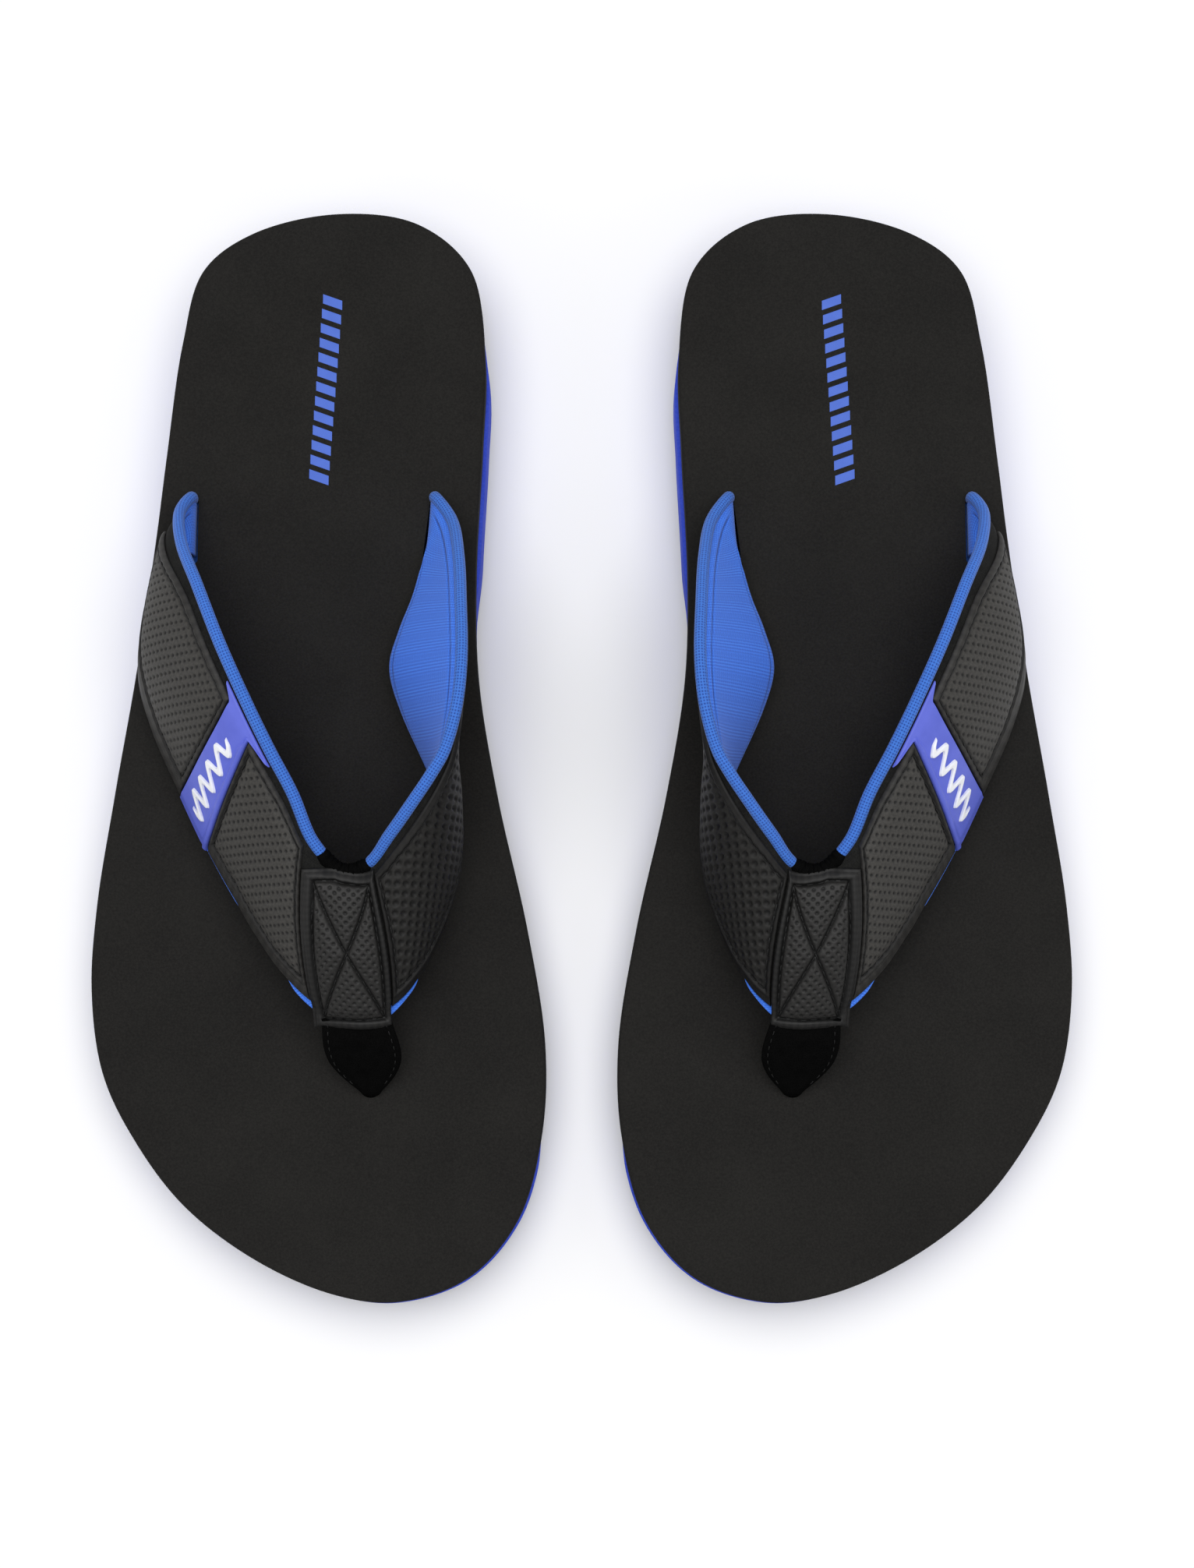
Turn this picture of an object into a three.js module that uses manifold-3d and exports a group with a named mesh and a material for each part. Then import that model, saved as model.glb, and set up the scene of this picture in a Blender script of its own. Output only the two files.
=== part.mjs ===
// A pair of flip flops: a three-layer wedge sole, a padded two-arm strap that is anchored in two side
// slots and by a toe post, and a rubber badge on the outer arm. Millimetres, +Z up, toes towards -Y.
// The left shoe is modelled at +X, and the right one is the same shoe in a group mirrored across X = 0.
import * as THREE from "three";
import { mergeVertices } from "three/addons/utils/BufferGeometryUtils.js";
import Module from "manifold-3d";

const wasm = await Module();
wasm.setup();

// ---- Driving dimensions ----

// Sole, seen from above
const SOLE_LENGTH = 281;
const SOLE_WIDTH = 116;
const PAIR_GAP = 18.4; // between the two footbeds, at the big toes
const MIDSOLE_FLARE = 0.9; // how far the midsole stands out past the footbed
const OUTSOLE_INSET = 1.0; // how far the outsole stays inside the footbed's outline

// Sole, from the ground up
const OUTSOLE_THICKNESS = 3.7;
const MIDSOLE_HEEL = 13.7;
const MIDSOLE_FOREFOOT = 4.7;
const FOOTBED_THICKNESS = 6;
const TOE_SPRING = 3; // height of the toe's tip above the ground
const GLUE_GAP = 0.3; // between two layers that are glued or sewn together

// Places along the sole, from its middle, on a shoe of the drawn length
const WEDGE_TOP = 60;
const WEDGE_FOOT = -50;
const SPRING_START = -95;
const FLEX_LINE = -58; // where the sole bends under the ball of the foot
const FLEX_GAP = 0.3;

// Tread
const TREAD_PLACES = [-118, -104, -90, -76, -42, -28, 62, 78, 94, 110];
const TREAD_WIDTH = 3;
const TREAD_DEPTH = 1.5;

// Strap
const STRAP_RISE = 39; // the rear edge above the footbed at its highest
const PADDING_EDGE = 1.0;
const PADDING_MIDDLE = 3.2;
const LINING_THICKNESS = 0.9;
const UPPER_THICKNESS = 0.7;
const PANEL_THICKNESS = 0.9;
const BADGE_THICKNESS = 1.5;
const RELIEF_THICKNESS = 0.8;
const PATCH_THICKNESS = 1.2;
const PATCH_OUTER = 11.4; // from the strap's centre rib to the patch's side on the outer arm
const PATCH_INNER = 9.2; // and on the inner arm
const STRAP_CROWN = 1.6; // how far the strap bows outwards between its two edges
const PLY_GAP = 0.4; // between two plies of the strap
const BINDING_RADIUS = 1.5;
const HEM = 2.0; // from the front edge of the strap to the edge of its plies
const PANEL_INSET = 3.6; // from the strap's rear edge to a perforated panel
const ARM_GAP = 0.6; // between the two arms where they meet under the patch
const SLOT_FULLNESS = 0.3; // how full the strap still is beside its slots, as a share
const ROLL_FULLNESS = 1.05; // the centre roll's radius, against the binding's

// Toe post, its hole and its plug
const POST_WIDTH = 18; // where it leaves the patch
const POST_THICKNESS = 2.0;
const POST_SHIFT = -0.8; // its top, off the strap's centre rib towards the inner side
const POST_LEAD = 1.4; // its top, in front of the strap's front edge
const POST_DROP = 0.6; // and below it
const POST_RADIUS = 2.6; // where it goes through the sole
const POST_CLEARANCE = 0.4;
const PLUG_RADIUS = 9;
const PLUG_THICKNESS = 2;

// Side anchors
const TAIL_LENGTH = 17;
const TAIL_THICKNESS = 2.2;
const TAIL_CLEARANCE = 0.4;
const FLANGE_REACH = 4.5; // how far the glued flange stands out from the tail
const FLANGE_THICKNESS = 1.6;
const TAIL_RISE = 0.5; // how far a tail stands up out of the footbed

// Cutting and trimming bodies reach this far past what they cut
const SIDE_MARGIN = 40;
const END_MARGIN = 12;
const BELOW_SOLE = -5;
const ABOVE_SOLE = 60;

// ---- The drawn last ----
// The outline and the strap are drawn on a shoe 281 long and 116 wide, and stretched to the sizes above.
const LAST_LENGTH = 281;
const LAST_WIDTH = 116;
const LAST_MIDDLE = 67.2; // the shoe's middle across, on the drawn pair
const LAST_HALF_GAP = 9.2; // half the gap between the two drawn footbeds
const LAST_STRAP_RISE = 39;
const LAST_TOE = -138; // the tip of the toe, along

// The footbed's outline from above, clockwise from the heel: distance from the pair's middle, then along.
const OUTLINE = [
  [64, 143], [86.5, 137.5], [99, 127.5], [104, 108], [107.5, 78], [110, 54], [114.4, 22], [120, -10],
  [124.3, -38], [125.2, -60], [121.8, -81], [113.5, -97.5], [100.5, -114], [82, -127.5], [62, -136],
  [46, -137.8], [28.5, -132], [16.2, -118], [10.2, -97], [9.3, -74], [14, -44], [21.7, -10], [26.6, 20],
  [27.3, 46], [25.8, 80], [25.2, 104], [29.2, 128], [43, 140.2],
];

// The strap's ribs, from the outer slot round over the foot to the inner slot. Each has the place of its
// rear edge and of its front edge: across, along, and up from the footbed.
const RIBS = [
  [100.4, 66.0, 2.6, 101.2, 50.0, 3.4],
  [102.2, 60.0, 9.5, 105.6, 46.0, 4.4],
  [99.0, 50.0, 18.7, 109.6, 35.0, 3.0],
  [94.5, 38.0, 28.0, 112.3, 20.5, 2.1],
  [88.0, 22.5, 33.4, 108.9, 6.6, 2.3],
  [81.5, 8.3, 34.0, 101.6, -9.7, 3.3],
  [76.0, -3.0, 33.0, 93.0, -27.0, 6.2],
  [70.5, -13.5, 31.2, 82.0, -45.0, 9.4],
  [66.0, -24.5, 28.6, 69.5, -61.5, 12.4],
  [59.5, -31.0, 26.8, 56.5, -68.5, 14.4],
  [52.0, -30.0, 27.7, 45.5, -63.5, 13.2],
  [46.5, -23.5, 32.6, 37.5, -49.0, 9.8],
  [41.0, -16.5, 36.8, 32.5, -31.0, 6.2],
  [36.0, -9.5, 39.0, 33.9, -15.0, 4.0],
  [31.3, -3.0, 39.5, 39.4, -3.0, 3.5],
  [27.8, 7.4, 40.0, 46.0, 11.0, 4.0],
  [26.6, 19.3, 37.2, 49.0, 21.5, 4.2],
  [27.3, 33.0, 29.8, 46.8, 30.6, 3.6],
  [29.0, 46.7, 19.6, 43.7, 38.5, 3.0],
  [32.0, 58.0, 9.6, 41.6, 45.0, 3.0],
  [37.6, 66.0, 2.6, 39.6, 50.0, 2.8],
];
const CENTRE_RIB = 9;
const LAST_RIB = RIBS.length - 1;

// Where the strap's pieces start and end, counted in ribs from the outer slot
const BADGE_START = [4.76, 5.04]; // at the strap's rear edge and at its front edge
const BADGE_END = [5.52, 5.86];
const FULL_FROM = 4; // the strap has its full thickness this far from each slot
const PADDING_START = 0.35; // the padding stops this far from each slot
const PANEL_START = 1.1; // and the perforated panels this far
const SEAM = 0.03; // between two pieces that meet edge to edge, about 0.4 mm
const PATCH_REAR = 0.07; // the patch's rear edge, in strap widths from the strap's
const PATCH_OVERHANG = 0.06; // how far the patch reaches past the front edge, in strap widths
const PATCH_GAP = 0.5; // between the patch and the panels beside it
const ROLL_SPAN = 0.55; // how far the centre roll reaches to each side of the centre rib

// The badge's relief: a wave along the badge, with lengths in ribs and places in strap widths
const RELIEF_WAVES = 3;
const RELIEF_SWING = 0.12;
const RELIEF_WIDTH = 0.14;
const RELIEF_REAR = 0.2;
const RELIEF_FRONT = 0.8;

const TOE_HOLE = [53.5, -84];
const OUTER_SLOT = [100.4, 58.0, 0]; // across, along, and turn in degrees
const INNER_SLOT = [38.6, 58.0, 7];

// ---- Places on the shoe ----

const acrossScale = SOLE_WIDTH / LAST_WIDTH;
const alongScale = SOLE_LENGTH / LAST_LENGTH;
const middleAcross = LAST_MIDDLE - LAST_HALF_GAP + PAIR_GAP / 2 + (SOLE_WIDTH - LAST_WIDTH) / 2;

const across = (x) => middleAcross + (x - LAST_MIDDLE) * acrossScale;
const along = (y) => y * alongScale;

function smooth(t) {
  const s = Math.min(1, Math.max(0, t));
  return s * s * (3 - 2 * s);
}

const midsoleThickness = (y) =>
  MIDSOLE_FOREFOOT
  + (MIDSOLE_HEEL - MIDSOLE_FOREFOOT)
  * smooth((y - along(WEDGE_FOOT)) / (along(WEDGE_TOP) - along(WEDGE_FOOT)));

function springAt(y) {
  const t = Math.max(0, (along(SPRING_START) - y) / (along(SPRING_START) - along(LAST_TOE)));
  return TOE_SPRING * t * t;
}

const outsoleTop = (y) => springAt(y) + OUTSOLE_THICKNESS;
const midsoleBottom = (y) => outsoleTop(y) + GLUE_GAP;
const midsoleTop = (y) => midsoleBottom(y) + midsoleThickness(y);
const footbedBottom = (y) => midsoleTop(y) + GLUE_GAP;
const footbedTop = (y) => footbedBottom(y) + FOOTBED_THICKNESS;

// ---- Closed solids ----

// A three.js geometry as a manifold solid.
function solid(geometry) {
  const bare = geometry.clone();
  bare.deleteAttribute("normal");
  bare.deleteAttribute("uv");
  const merged = mergeVertices(bare, 1e-4);
  return new wasm.Manifold(
    new wasm.Mesh({
      numProp: 3,
      vertProperties: new Float32Array(merged.attributes.position.array),
      triVerts: new Uint32Array(merged.index.array),
    }),
  );
}

function geometryOf(manifold) {
  const mesh = manifold.getMesh();
  const geometry = new THREE.BufferGeometry();
  geometry.setAttribute("position", new THREE.BufferAttribute(mesh.vertProperties, 3));
  geometry.setIndex(new THREE.BufferAttribute(mesh.triVerts, 1));
  return geometry;
}

// Moves every corner of a closed geometry to place(x, y, z), keeping it closed.
function bend(geometry, place) {
  const bare = geometry.clone();
  bare.deleteAttribute("normal");
  bare.deleteAttribute("uv");
  const merged = mergeVertices(bare, 1e-4);
  const position = merged.attributes.position;
  for (let i = 0; i < position.count; i += 1) {
    const moved = place(position.getX(i), position.getY(i), position.getZ(i));
    position.setXYZ(i, moved.x, moved.y, moved.z);
  }
  return merged;
}

// An upright prism on a plan outline, from z = low to z = high.
function upright(points, low, high) {
  const shape = new THREE.Shape(points.map(([x, y]) => new THREE.Vector2(x, y)));
  const prism = new THREE.ExtrudeGeometry(shape, { depth: high - low, bevelEnabled: false });
  return prism.translate(0, 0, low);
}

// ---- Sole ----

const OUTLINE_STEPS = 54;
const SIDE_VIEW_STEP = 14;
const outlineCurve = new THREE.CatmullRomCurve3(
  OUTLINE.map(([x, y]) => new THREE.Vector3(across(x), along(y), 0)),
  true,
);

// The footbed's outline, moved outwards by offset.
function outlineAt(offset) {
  const points = [];
  for (let i = 0; i < OUTLINE_STEPS; i += 1) {
    const t = i / OUTLINE_STEPS;
    const point = outlineCurve.getPointAt(t);
    const tangent = outlineCurve.getTangentAt(t);
    points.push([point.x - tangent.y * offset, point.y + tangent.x * offset]);
  }
  return points;
}

// A prism across the whole shoe whose side view lies between two heights, from y = front to y = back.
function sideView(bottom, top, front, back) {
  const steps = Math.max(4, Math.round((back - front) / SIDE_VIEW_STEP));
  const outline = [];
  for (let i = 0; i <= steps; i += 1) {
    const y = front + ((back - front) * i) / steps;
    outline.push([y, bottom(y)]);
  }
  for (let i = steps; i >= 0; i -= 1) {
    const y = front + ((back - front) * i) / steps;
    outline.push([y, top(y)]);
  }
  const shape = new THREE.Shape(outline.map(([y, z]) => new THREE.Vector2(y, z)));
  const depth = SOLE_WIDTH + 2 * SIDE_MARGIN;
  const prism = new THREE.ExtrudeGeometry(shape, { depth, bevelEnabled: false });
  // The drawing's x and y become the shoe's y and z, and its depth runs across.
  const start = across(LAST_HALF_GAP) - SIDE_MARGIN;
  return prism.rotateX(Math.PI / 2).rotateZ(Math.PI / 2).translate(start, 0, 0);
}

// One layer of the sole, split at the flex line into its rear and front part.
function soleLayer(offset, bottom, top) {
  const plan = solid(upright(outlineAt(offset), BELOW_SOLE, ABOVE_SOLE));
  const flex = along(FLEX_LINE);
  const reach = SOLE_LENGTH / 2 + END_MARGIN;
  const rear = solid(sideView(bottom, top, flex + FLEX_GAP / 2, reach));
  const fore = solid(sideView(bottom, top, -reach, flex - FLEX_GAP / 2));
  return { rear: plan.intersect(rear), fore: plan.intersect(fore) };
}

// A rounded slot seen from above, as an upright prism.
function slotPrism([x, y, turn], length, width, low, high) {
  const half = (length - width) / 2;
  const shape = new THREE.Shape();
  shape.absarc(0, half, width / 2, 0, Math.PI, false);
  shape.absarc(0, -half, width / 2, Math.PI, 2 * Math.PI, false);
  const prism = new THREE.ExtrudeGeometry(shape, {
    depth: high - low,
    bevelEnabled: false,
    curveSegments: 4,
  });
  return prism
    .rotateZ(THREE.MathUtils.degToRad(turn))
    .translate(across(x), along(y), low);
}

// An upright round prism.
function disc([x, y], radius, low, high, sides) {
  const cylinder = new THREE.CylinderGeometry(radius, radius, high - low, sides);
  return cylinder.rotateX(Math.PI / 2).translate(across(x), along(y), (low + high) / 2);
}

const slots = { lateral: OUTER_SLOT, medial: INNER_SLOT };
const slotLength = TAIL_LENGTH + 2 * TAIL_CLEARANCE;
const slotWidth = TAIL_THICKNESS + 2 * TAIL_CLEARANCE;
const flangeLength = TAIL_LENGTH + 2 * FLANGE_REACH;
const flangeWidth = TAIL_THICKNESS + 2 * FLANGE_REACH;
const flangeLow = OUTSOLE_THICKNESS + GLUE_GAP + TAIL_CLEARANCE;
const flangeHigh = flangeLow + FLANGE_THICKNESS;
const plugLow = flangeLow;
const plugHigh = plugLow + PLUG_THICKNESS;

function footbed() {
  const layer = soleLayer(0, footbedBottom, footbedTop);
  for (const slot of Object.values(slots)) {
    const passage = slotPrism(slot, slotLength, slotWidth, BELOW_SOLE, ABOVE_SOLE);
    layer.rear = layer.rear.subtract(solid(passage));
  }
  const hole = disc(TOE_HOLE, POST_RADIUS + POST_CLEARANCE, BELOW_SOLE, ABOVE_SOLE, 16);
  layer.fore = layer.fore.subtract(solid(hole));
  return layer;
}

function midsole() {
  const layer = soleLayer(MIDSOLE_FLARE, midsoleBottom, midsoleTop);
  for (const slot of Object.values(slots)) {
    const passage = slotPrism(slot, slotLength, slotWidth, BELOW_SOLE, ABOVE_SOLE);
    const pocketLength = flangeLength + 2 * TAIL_CLEARANCE;
    const pocketWidth = flangeWidth + 2 * TAIL_CLEARANCE;
    const pocketHigh = flangeHigh + TAIL_CLEARANCE;
    const pocket = slotPrism(slot, pocketLength, pocketWidth, BELOW_SOLE, pocketHigh);
    layer.rear = layer.rear.subtract(solid(passage)).subtract(solid(pocket));
  }
  const hole = disc(TOE_HOLE, POST_RADIUS + POST_CLEARANCE, BELOW_SOLE, ABOVE_SOLE, 16);
  const seatHigh = plugHigh + POST_CLEARANCE;
  const seat = disc(TOE_HOLE, PLUG_RADIUS + POST_CLEARANCE, BELOW_SOLE, seatHigh, 24);
  layer.fore = layer.fore.subtract(solid(hole)).subtract(solid(seat));
  return layer;
}

function outsole() {
  const layer = soleLayer(-OUTSOLE_INSET, springAt, outsoleTop);
  for (const place of TREAD_PLACES) {
    const part = place > FLEX_LINE ? "rear" : "fore";
    const y = along(place);
    const low = springAt(y);
    const bar = new THREE.BoxGeometry(SOLE_WIDTH + SIDE_MARGIN, TREAD_WIDTH, 2 * TREAD_DEPTH);
    bar.translate(across(LAST_MIDDLE), y, low);
    layer[part] = layer[part].subtract(solid(bar));
  }
  return layer;
}

// ---- Strap ----

const ribEdge = (first) => RIBS.map((rib) => {
  const y = along(rib[first + 1]);
  const rise = (rib[first + 2] * STRAP_RISE) / LAST_STRAP_RISE;
  return new THREE.Vector3(across(rib[first]), y, footbedTop(y) + rise);
});
const rearEdge = ribEdge(0);
const frontEdge = ribEdge(3);

// A smooth curve through every point, read at a place counted in points.
function through(points, at) {
  const last = points.length - 1;
  const i = Math.min(last - 1, Math.max(0, Math.floor(at)));
  const t = at - i;
  const before = points[Math.max(0, i - 1)];
  const after = points[Math.min(last, i + 2)];
  const value = (axis) => {
    const a = points[i][axis];
    const b = points[i + 1][axis];
    const slopeA = (b - before[axis]) / 2;
    const slopeB = (after[axis] - a) / 2;
    return (2 * t ** 3 - 3 * t ** 2 + 1) * a
      + (t ** 3 - 2 * t ** 2 + t) * slopeA
      + (3 * t ** 2 - 2 * t ** 3) * b
      + (t ** 3 - t ** 2) * slopeB;
  };
  return new THREE.Vector3(value("x"), value("y"), value("z"));
}

const strapWidth = (u) => through(rearEdge, u).distanceTo(through(frontEdge, u));

// The strap's middle surface before its bow: u in ribs from the outer slot, v from rear edge to front edge.
const flatStrap = (u, v) => through(rearEdge, u).lerp(through(frontEdge, u), v);

// Its outward normal.
function strapNormal(u, v) {
  const step = 0.02;
  const alongStrap = flatStrap(u + step, v).sub(flatStrap(u - step, v));
  const acrossStrap = through(frontEdge, u).sub(through(rearEdge, u));
  return alongStrap.cross(acrossStrap).normalize();
}

// How far, in ribs, a width reaches along the strap from its centre rib to one side.
function ribsFor(width, side, v) {
  const middle = flatStrap(CENTRE_RIB, v);
  return width / middle.distanceTo(flatStrap(CENTRE_RIB + side, v));
}

// The strap is at its fullest along the middle of its width, and flatter towards both slots.
const fullness = (u) =>
  SLOT_FULLNESS + (1 - SLOT_FULLNESS) * smooth(Math.min(u, LAST_RIB - u) / FULL_FROM);
const bow = (u, v) => fullness(u) * Math.sin(Math.PI * Math.min(1, Math.max(0, v)));

// A point of the strap, at a height n along the normal from the bowed middle surface.
function onStrap(u, v, n) {
  const lift = n + STRAP_CROWN * bow(u, v);
  return flatStrap(u, v).addScaledVector(strapNormal(u, v), lift);
}

// Half the padding's thickness, full in the middle and thin at both edges.
const halfPadding = (u, v) => (PADDING_EDGE + (PADDING_MIDDLE - PADDING_EDGE) * bow(u, v)) / 2;

// A ply of the strap, between two heights: from start(v) to end(v) along it and from rear(u) to front(u)
// across.
function ply([start, end], [rear, front], [low, high], [stepsAlong, stepsAcross]) {
  const block = new THREE.BoxGeometry(1, 1, 1, stepsAlong, stepsAcross, 1);
  return bend(block, (x, y, z) => {
    const shareAlong = x + 0.5;
    const shareAcross = y + 0.5;
    const rough = start(shareAcross) + (end(shareAcross) - start(shareAcross)) * shareAlong;
    const v = rear(rough) + (front(rough) - rear(rough)) * shareAcross;
    const u = start(v) + (end(v) - start(v)) * shareAlong;
    return onStrap(u, v, z < 0 ? low(u, v) : high(u, v));
  });
}

// Where the plies' edges lie, in strap widths from the rear edge.
const plyRear = (u) => (BINDING_RADIUS + PLY_GAP) / strapWidth(u);
const plyFront = (u) => 1 - HEM / strapWidth(u);
const panelRear = (u) => PANEL_INSET / strapWidth(u);

const paddingTop = (u, v) => halfPadding(u, v);
const paddingBottom = (u, v) => -halfPadding(u, v);
const liningTop = (u, v) => paddingBottom(u, v) - PLY_GAP;
const liningBottom = (u, v) => liningTop(u, v) - LINING_THICKNESS;
const upperBottom = (u, v) => paddingTop(u, v) + PLY_GAP;
const upperTop = (u, v) => upperBottom(u, v) + UPPER_THICKNESS;
const panelBottom = (u, v) => upperTop(u, v) + PLY_GAP;
const panelTop = (u, v) => panelBottom(u, v) + PANEL_THICKNESS;
const badgeTop = (u, v) => panelBottom(u, v) + BADGE_THICKNESS;
const reliefBottom = (u, v) => badgeTop(u, v) + PLY_GAP;
const reliefTop = (u, v) => reliefBottom(u, v) + RELIEF_THICKNESS;
const patchTop = (u, v) => panelBottom(u, v) + PATCH_THICKNESS;

const armGapShare = ARM_GAP / 2 / rearEdge[CENTRE_RIB].distanceTo(rearEdge[CENTRE_RIB + 1]);
const at = (u) => () => u;
const arms = {
  lateral: {
    lining: [at(0), at(CENTRE_RIB - armGapShare)],
    padded: [at(PADDING_START), at(CENTRE_RIB - armGapShare)],
  },
  medial: {
    lining: [at(CENTRE_RIB + armGapShare), at(LAST_RIB)],
    padded: [at(CENTRE_RIB + armGapShare), at(LAST_RIB - PADDING_START)],
  },
};

// The places where the patch and the badge end, in ribs, at v.
const patchSide = (side, gap) => (v) =>
  CENTRE_RIB + side * ribsFor((side < 0 ? PATCH_OUTER : PATCH_INNER) + gap, side, v);
const slanted = ([rear, front], gap) => (v) => rear + (front - rear) * v + gap;

// A round cord rolled along the strap's rear edge.
function edgeRoll(u0, u1, radius, steps) {
  const rod = new THREE.CylinderGeometry(1, 1, 1, 8, steps);
  return bend(rod, (x, y, z) => {
    const u = u0 + (u1 - u0) * (y + 0.5);
    const outward = strapNormal(u, 0);
    const forward = through(frontEdge, u).sub(through(rearEdge, u)).normalize();
    return through(rearEdge, u)
      .addScaledVector(outward, -z * radius)
      .addScaledVector(forward, x * radius);
  });
}

// The relief on the badge: one slanted wave that runs along the badge.
function badgeRelief() {
  const block = new THREE.BoxGeometry(1, 1, 1, 24, 1, 1);
  const start = slanted(BADGE_START, 0);
  const end = slanted(BADGE_END, 0);
  return bend(block, (x, y, z) => {
    const v = RELIEF_REAR + (RELIEF_FRONT - RELIEF_REAR) * (0.5 - x);
    const wave = RELIEF_SWING * Math.sin(2 * Math.PI * RELIEF_WAVES * x);
    const u = (start(v) + end(v)) / 2 + wave + RELIEF_WIDTH * y;
    return onStrap(u, v, z < 0 ? reliefBottom(u, v) : reliefTop(u, v));
  });
}

// ---- Toe post ----

const postFoot = new THREE.Vector3(across(TOE_HOLE[0]), along(TOE_HOLE[1]), 0);
const postTop = onStrap(CENTRE_RIB, 1, 0).add(new THREE.Vector3(POST_SHIFT, -POST_LEAD, -POST_DROP));
const holeTop = footbedTop(postFoot.y);

// A webbing that leaves the patch flat and wide and is gathered to a round where it enters the sole.
// Each row: place of the section's middle, half width, half thickness.
function postSections() {
  const drop = postTop.z - holeTop;
  const reach = postTop.y - postFoot.y;
  const side = postTop.x - postFoot.x;
  const at = (share, height, halfWidth, halfThickness) => ({
    middle: new THREE.Vector3(
      postFoot.x + side * share,
      postFoot.y + reach * share,
      holeTop + drop * height,
    ),
    halfWidth,
    halfThickness,
  });
  const wide = POST_WIDTH / 2;
  const thin = POST_THICKNESS / 2;
  return [
    at(1, 1, wide * 0.93, thin),
    at(0.8, 0.87, wide, thin),
    at(0.55, 0.68, wide * 0.94, thin * 1.1),
    at(0.3, 0.43, wide * 0.68, thin * 1.5),
    at(0.07, 0.24, wide * 0.34, thin * 2),
    at(0, -0.1, POST_RADIUS, POST_RADIUS),
    at(0, (plugHigh + GLUE_GAP - holeTop) / drop, POST_RADIUS, POST_RADIUS),
  ];
}

function toePost() {
  const sections = postSections();
  const last = sections.length - 1;
  const rod = new THREE.CylinderGeometry(1, 1, 1, 12, last);
  const middles = sections.map((section) => section.middle);
  return bend(rod, (x, y, z) => {
    const i = Math.round((0.5 - y) * last);
    const { middle, halfWidth, halfThickness } = sections[i];
    const before = middles[Math.max(0, i - 1)];
    const after = middles[Math.min(last, i + 1)];
    const down = after.clone().sub(before).normalize();
    const sideways = new THREE.Vector3(1, 0, 0);
    const outward = down.clone().cross(sideways).normalize();
    return middle.clone()
      .addScaledVector(sideways, x * halfWidth)
      .addScaledVector(outward, z * halfThickness);
  });
}

// ---- Side anchors ----

// The end of an arm: a flat tail down through its slot, with a flange glued under the midsole.
function tail(slot) {
  const y = along(slot[1]);
  const stem = slotPrism(slot, TAIL_LENGTH, TAIL_THICKNESS, flangeLow, footbedTop(y) + TAIL_RISE);
  const flange = slotPrism(slot, flangeLength, flangeWidth, flangeLow, flangeHigh);
  return geometryOf(solid(stem).add(solid(flange)));
}

// ---- Finishes ----

const finish = (color, roughness) => new THREE.MeshStandardMaterial({ color, roughness, metalness: 0 });
const footbedFoam = finish("#262524", 0.95);
const midsoleFoam = finish("#4d62cc", 0.7);
const outsoleRubber = finish("#1c1c1e", 0.85);
const liningKnit = finish("#4a76dd", 0.9);
const strapBlack = finish("#1b1b1b", 0.8);
const panelGrey = finish("#474645", 0.65);
const paddingFoam = finish("#d8d4c6", 0.95);
const badgeBlue = finish("#6674da", 0.5);
const reliefWhite = finish("#f2f2f5", 0.5);
const webbingBlack = finish("#0b0b0c", 0.95);
const plugBlack = finish("#2a2a2c", 0.4);

// ---- One shoe ----

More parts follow.
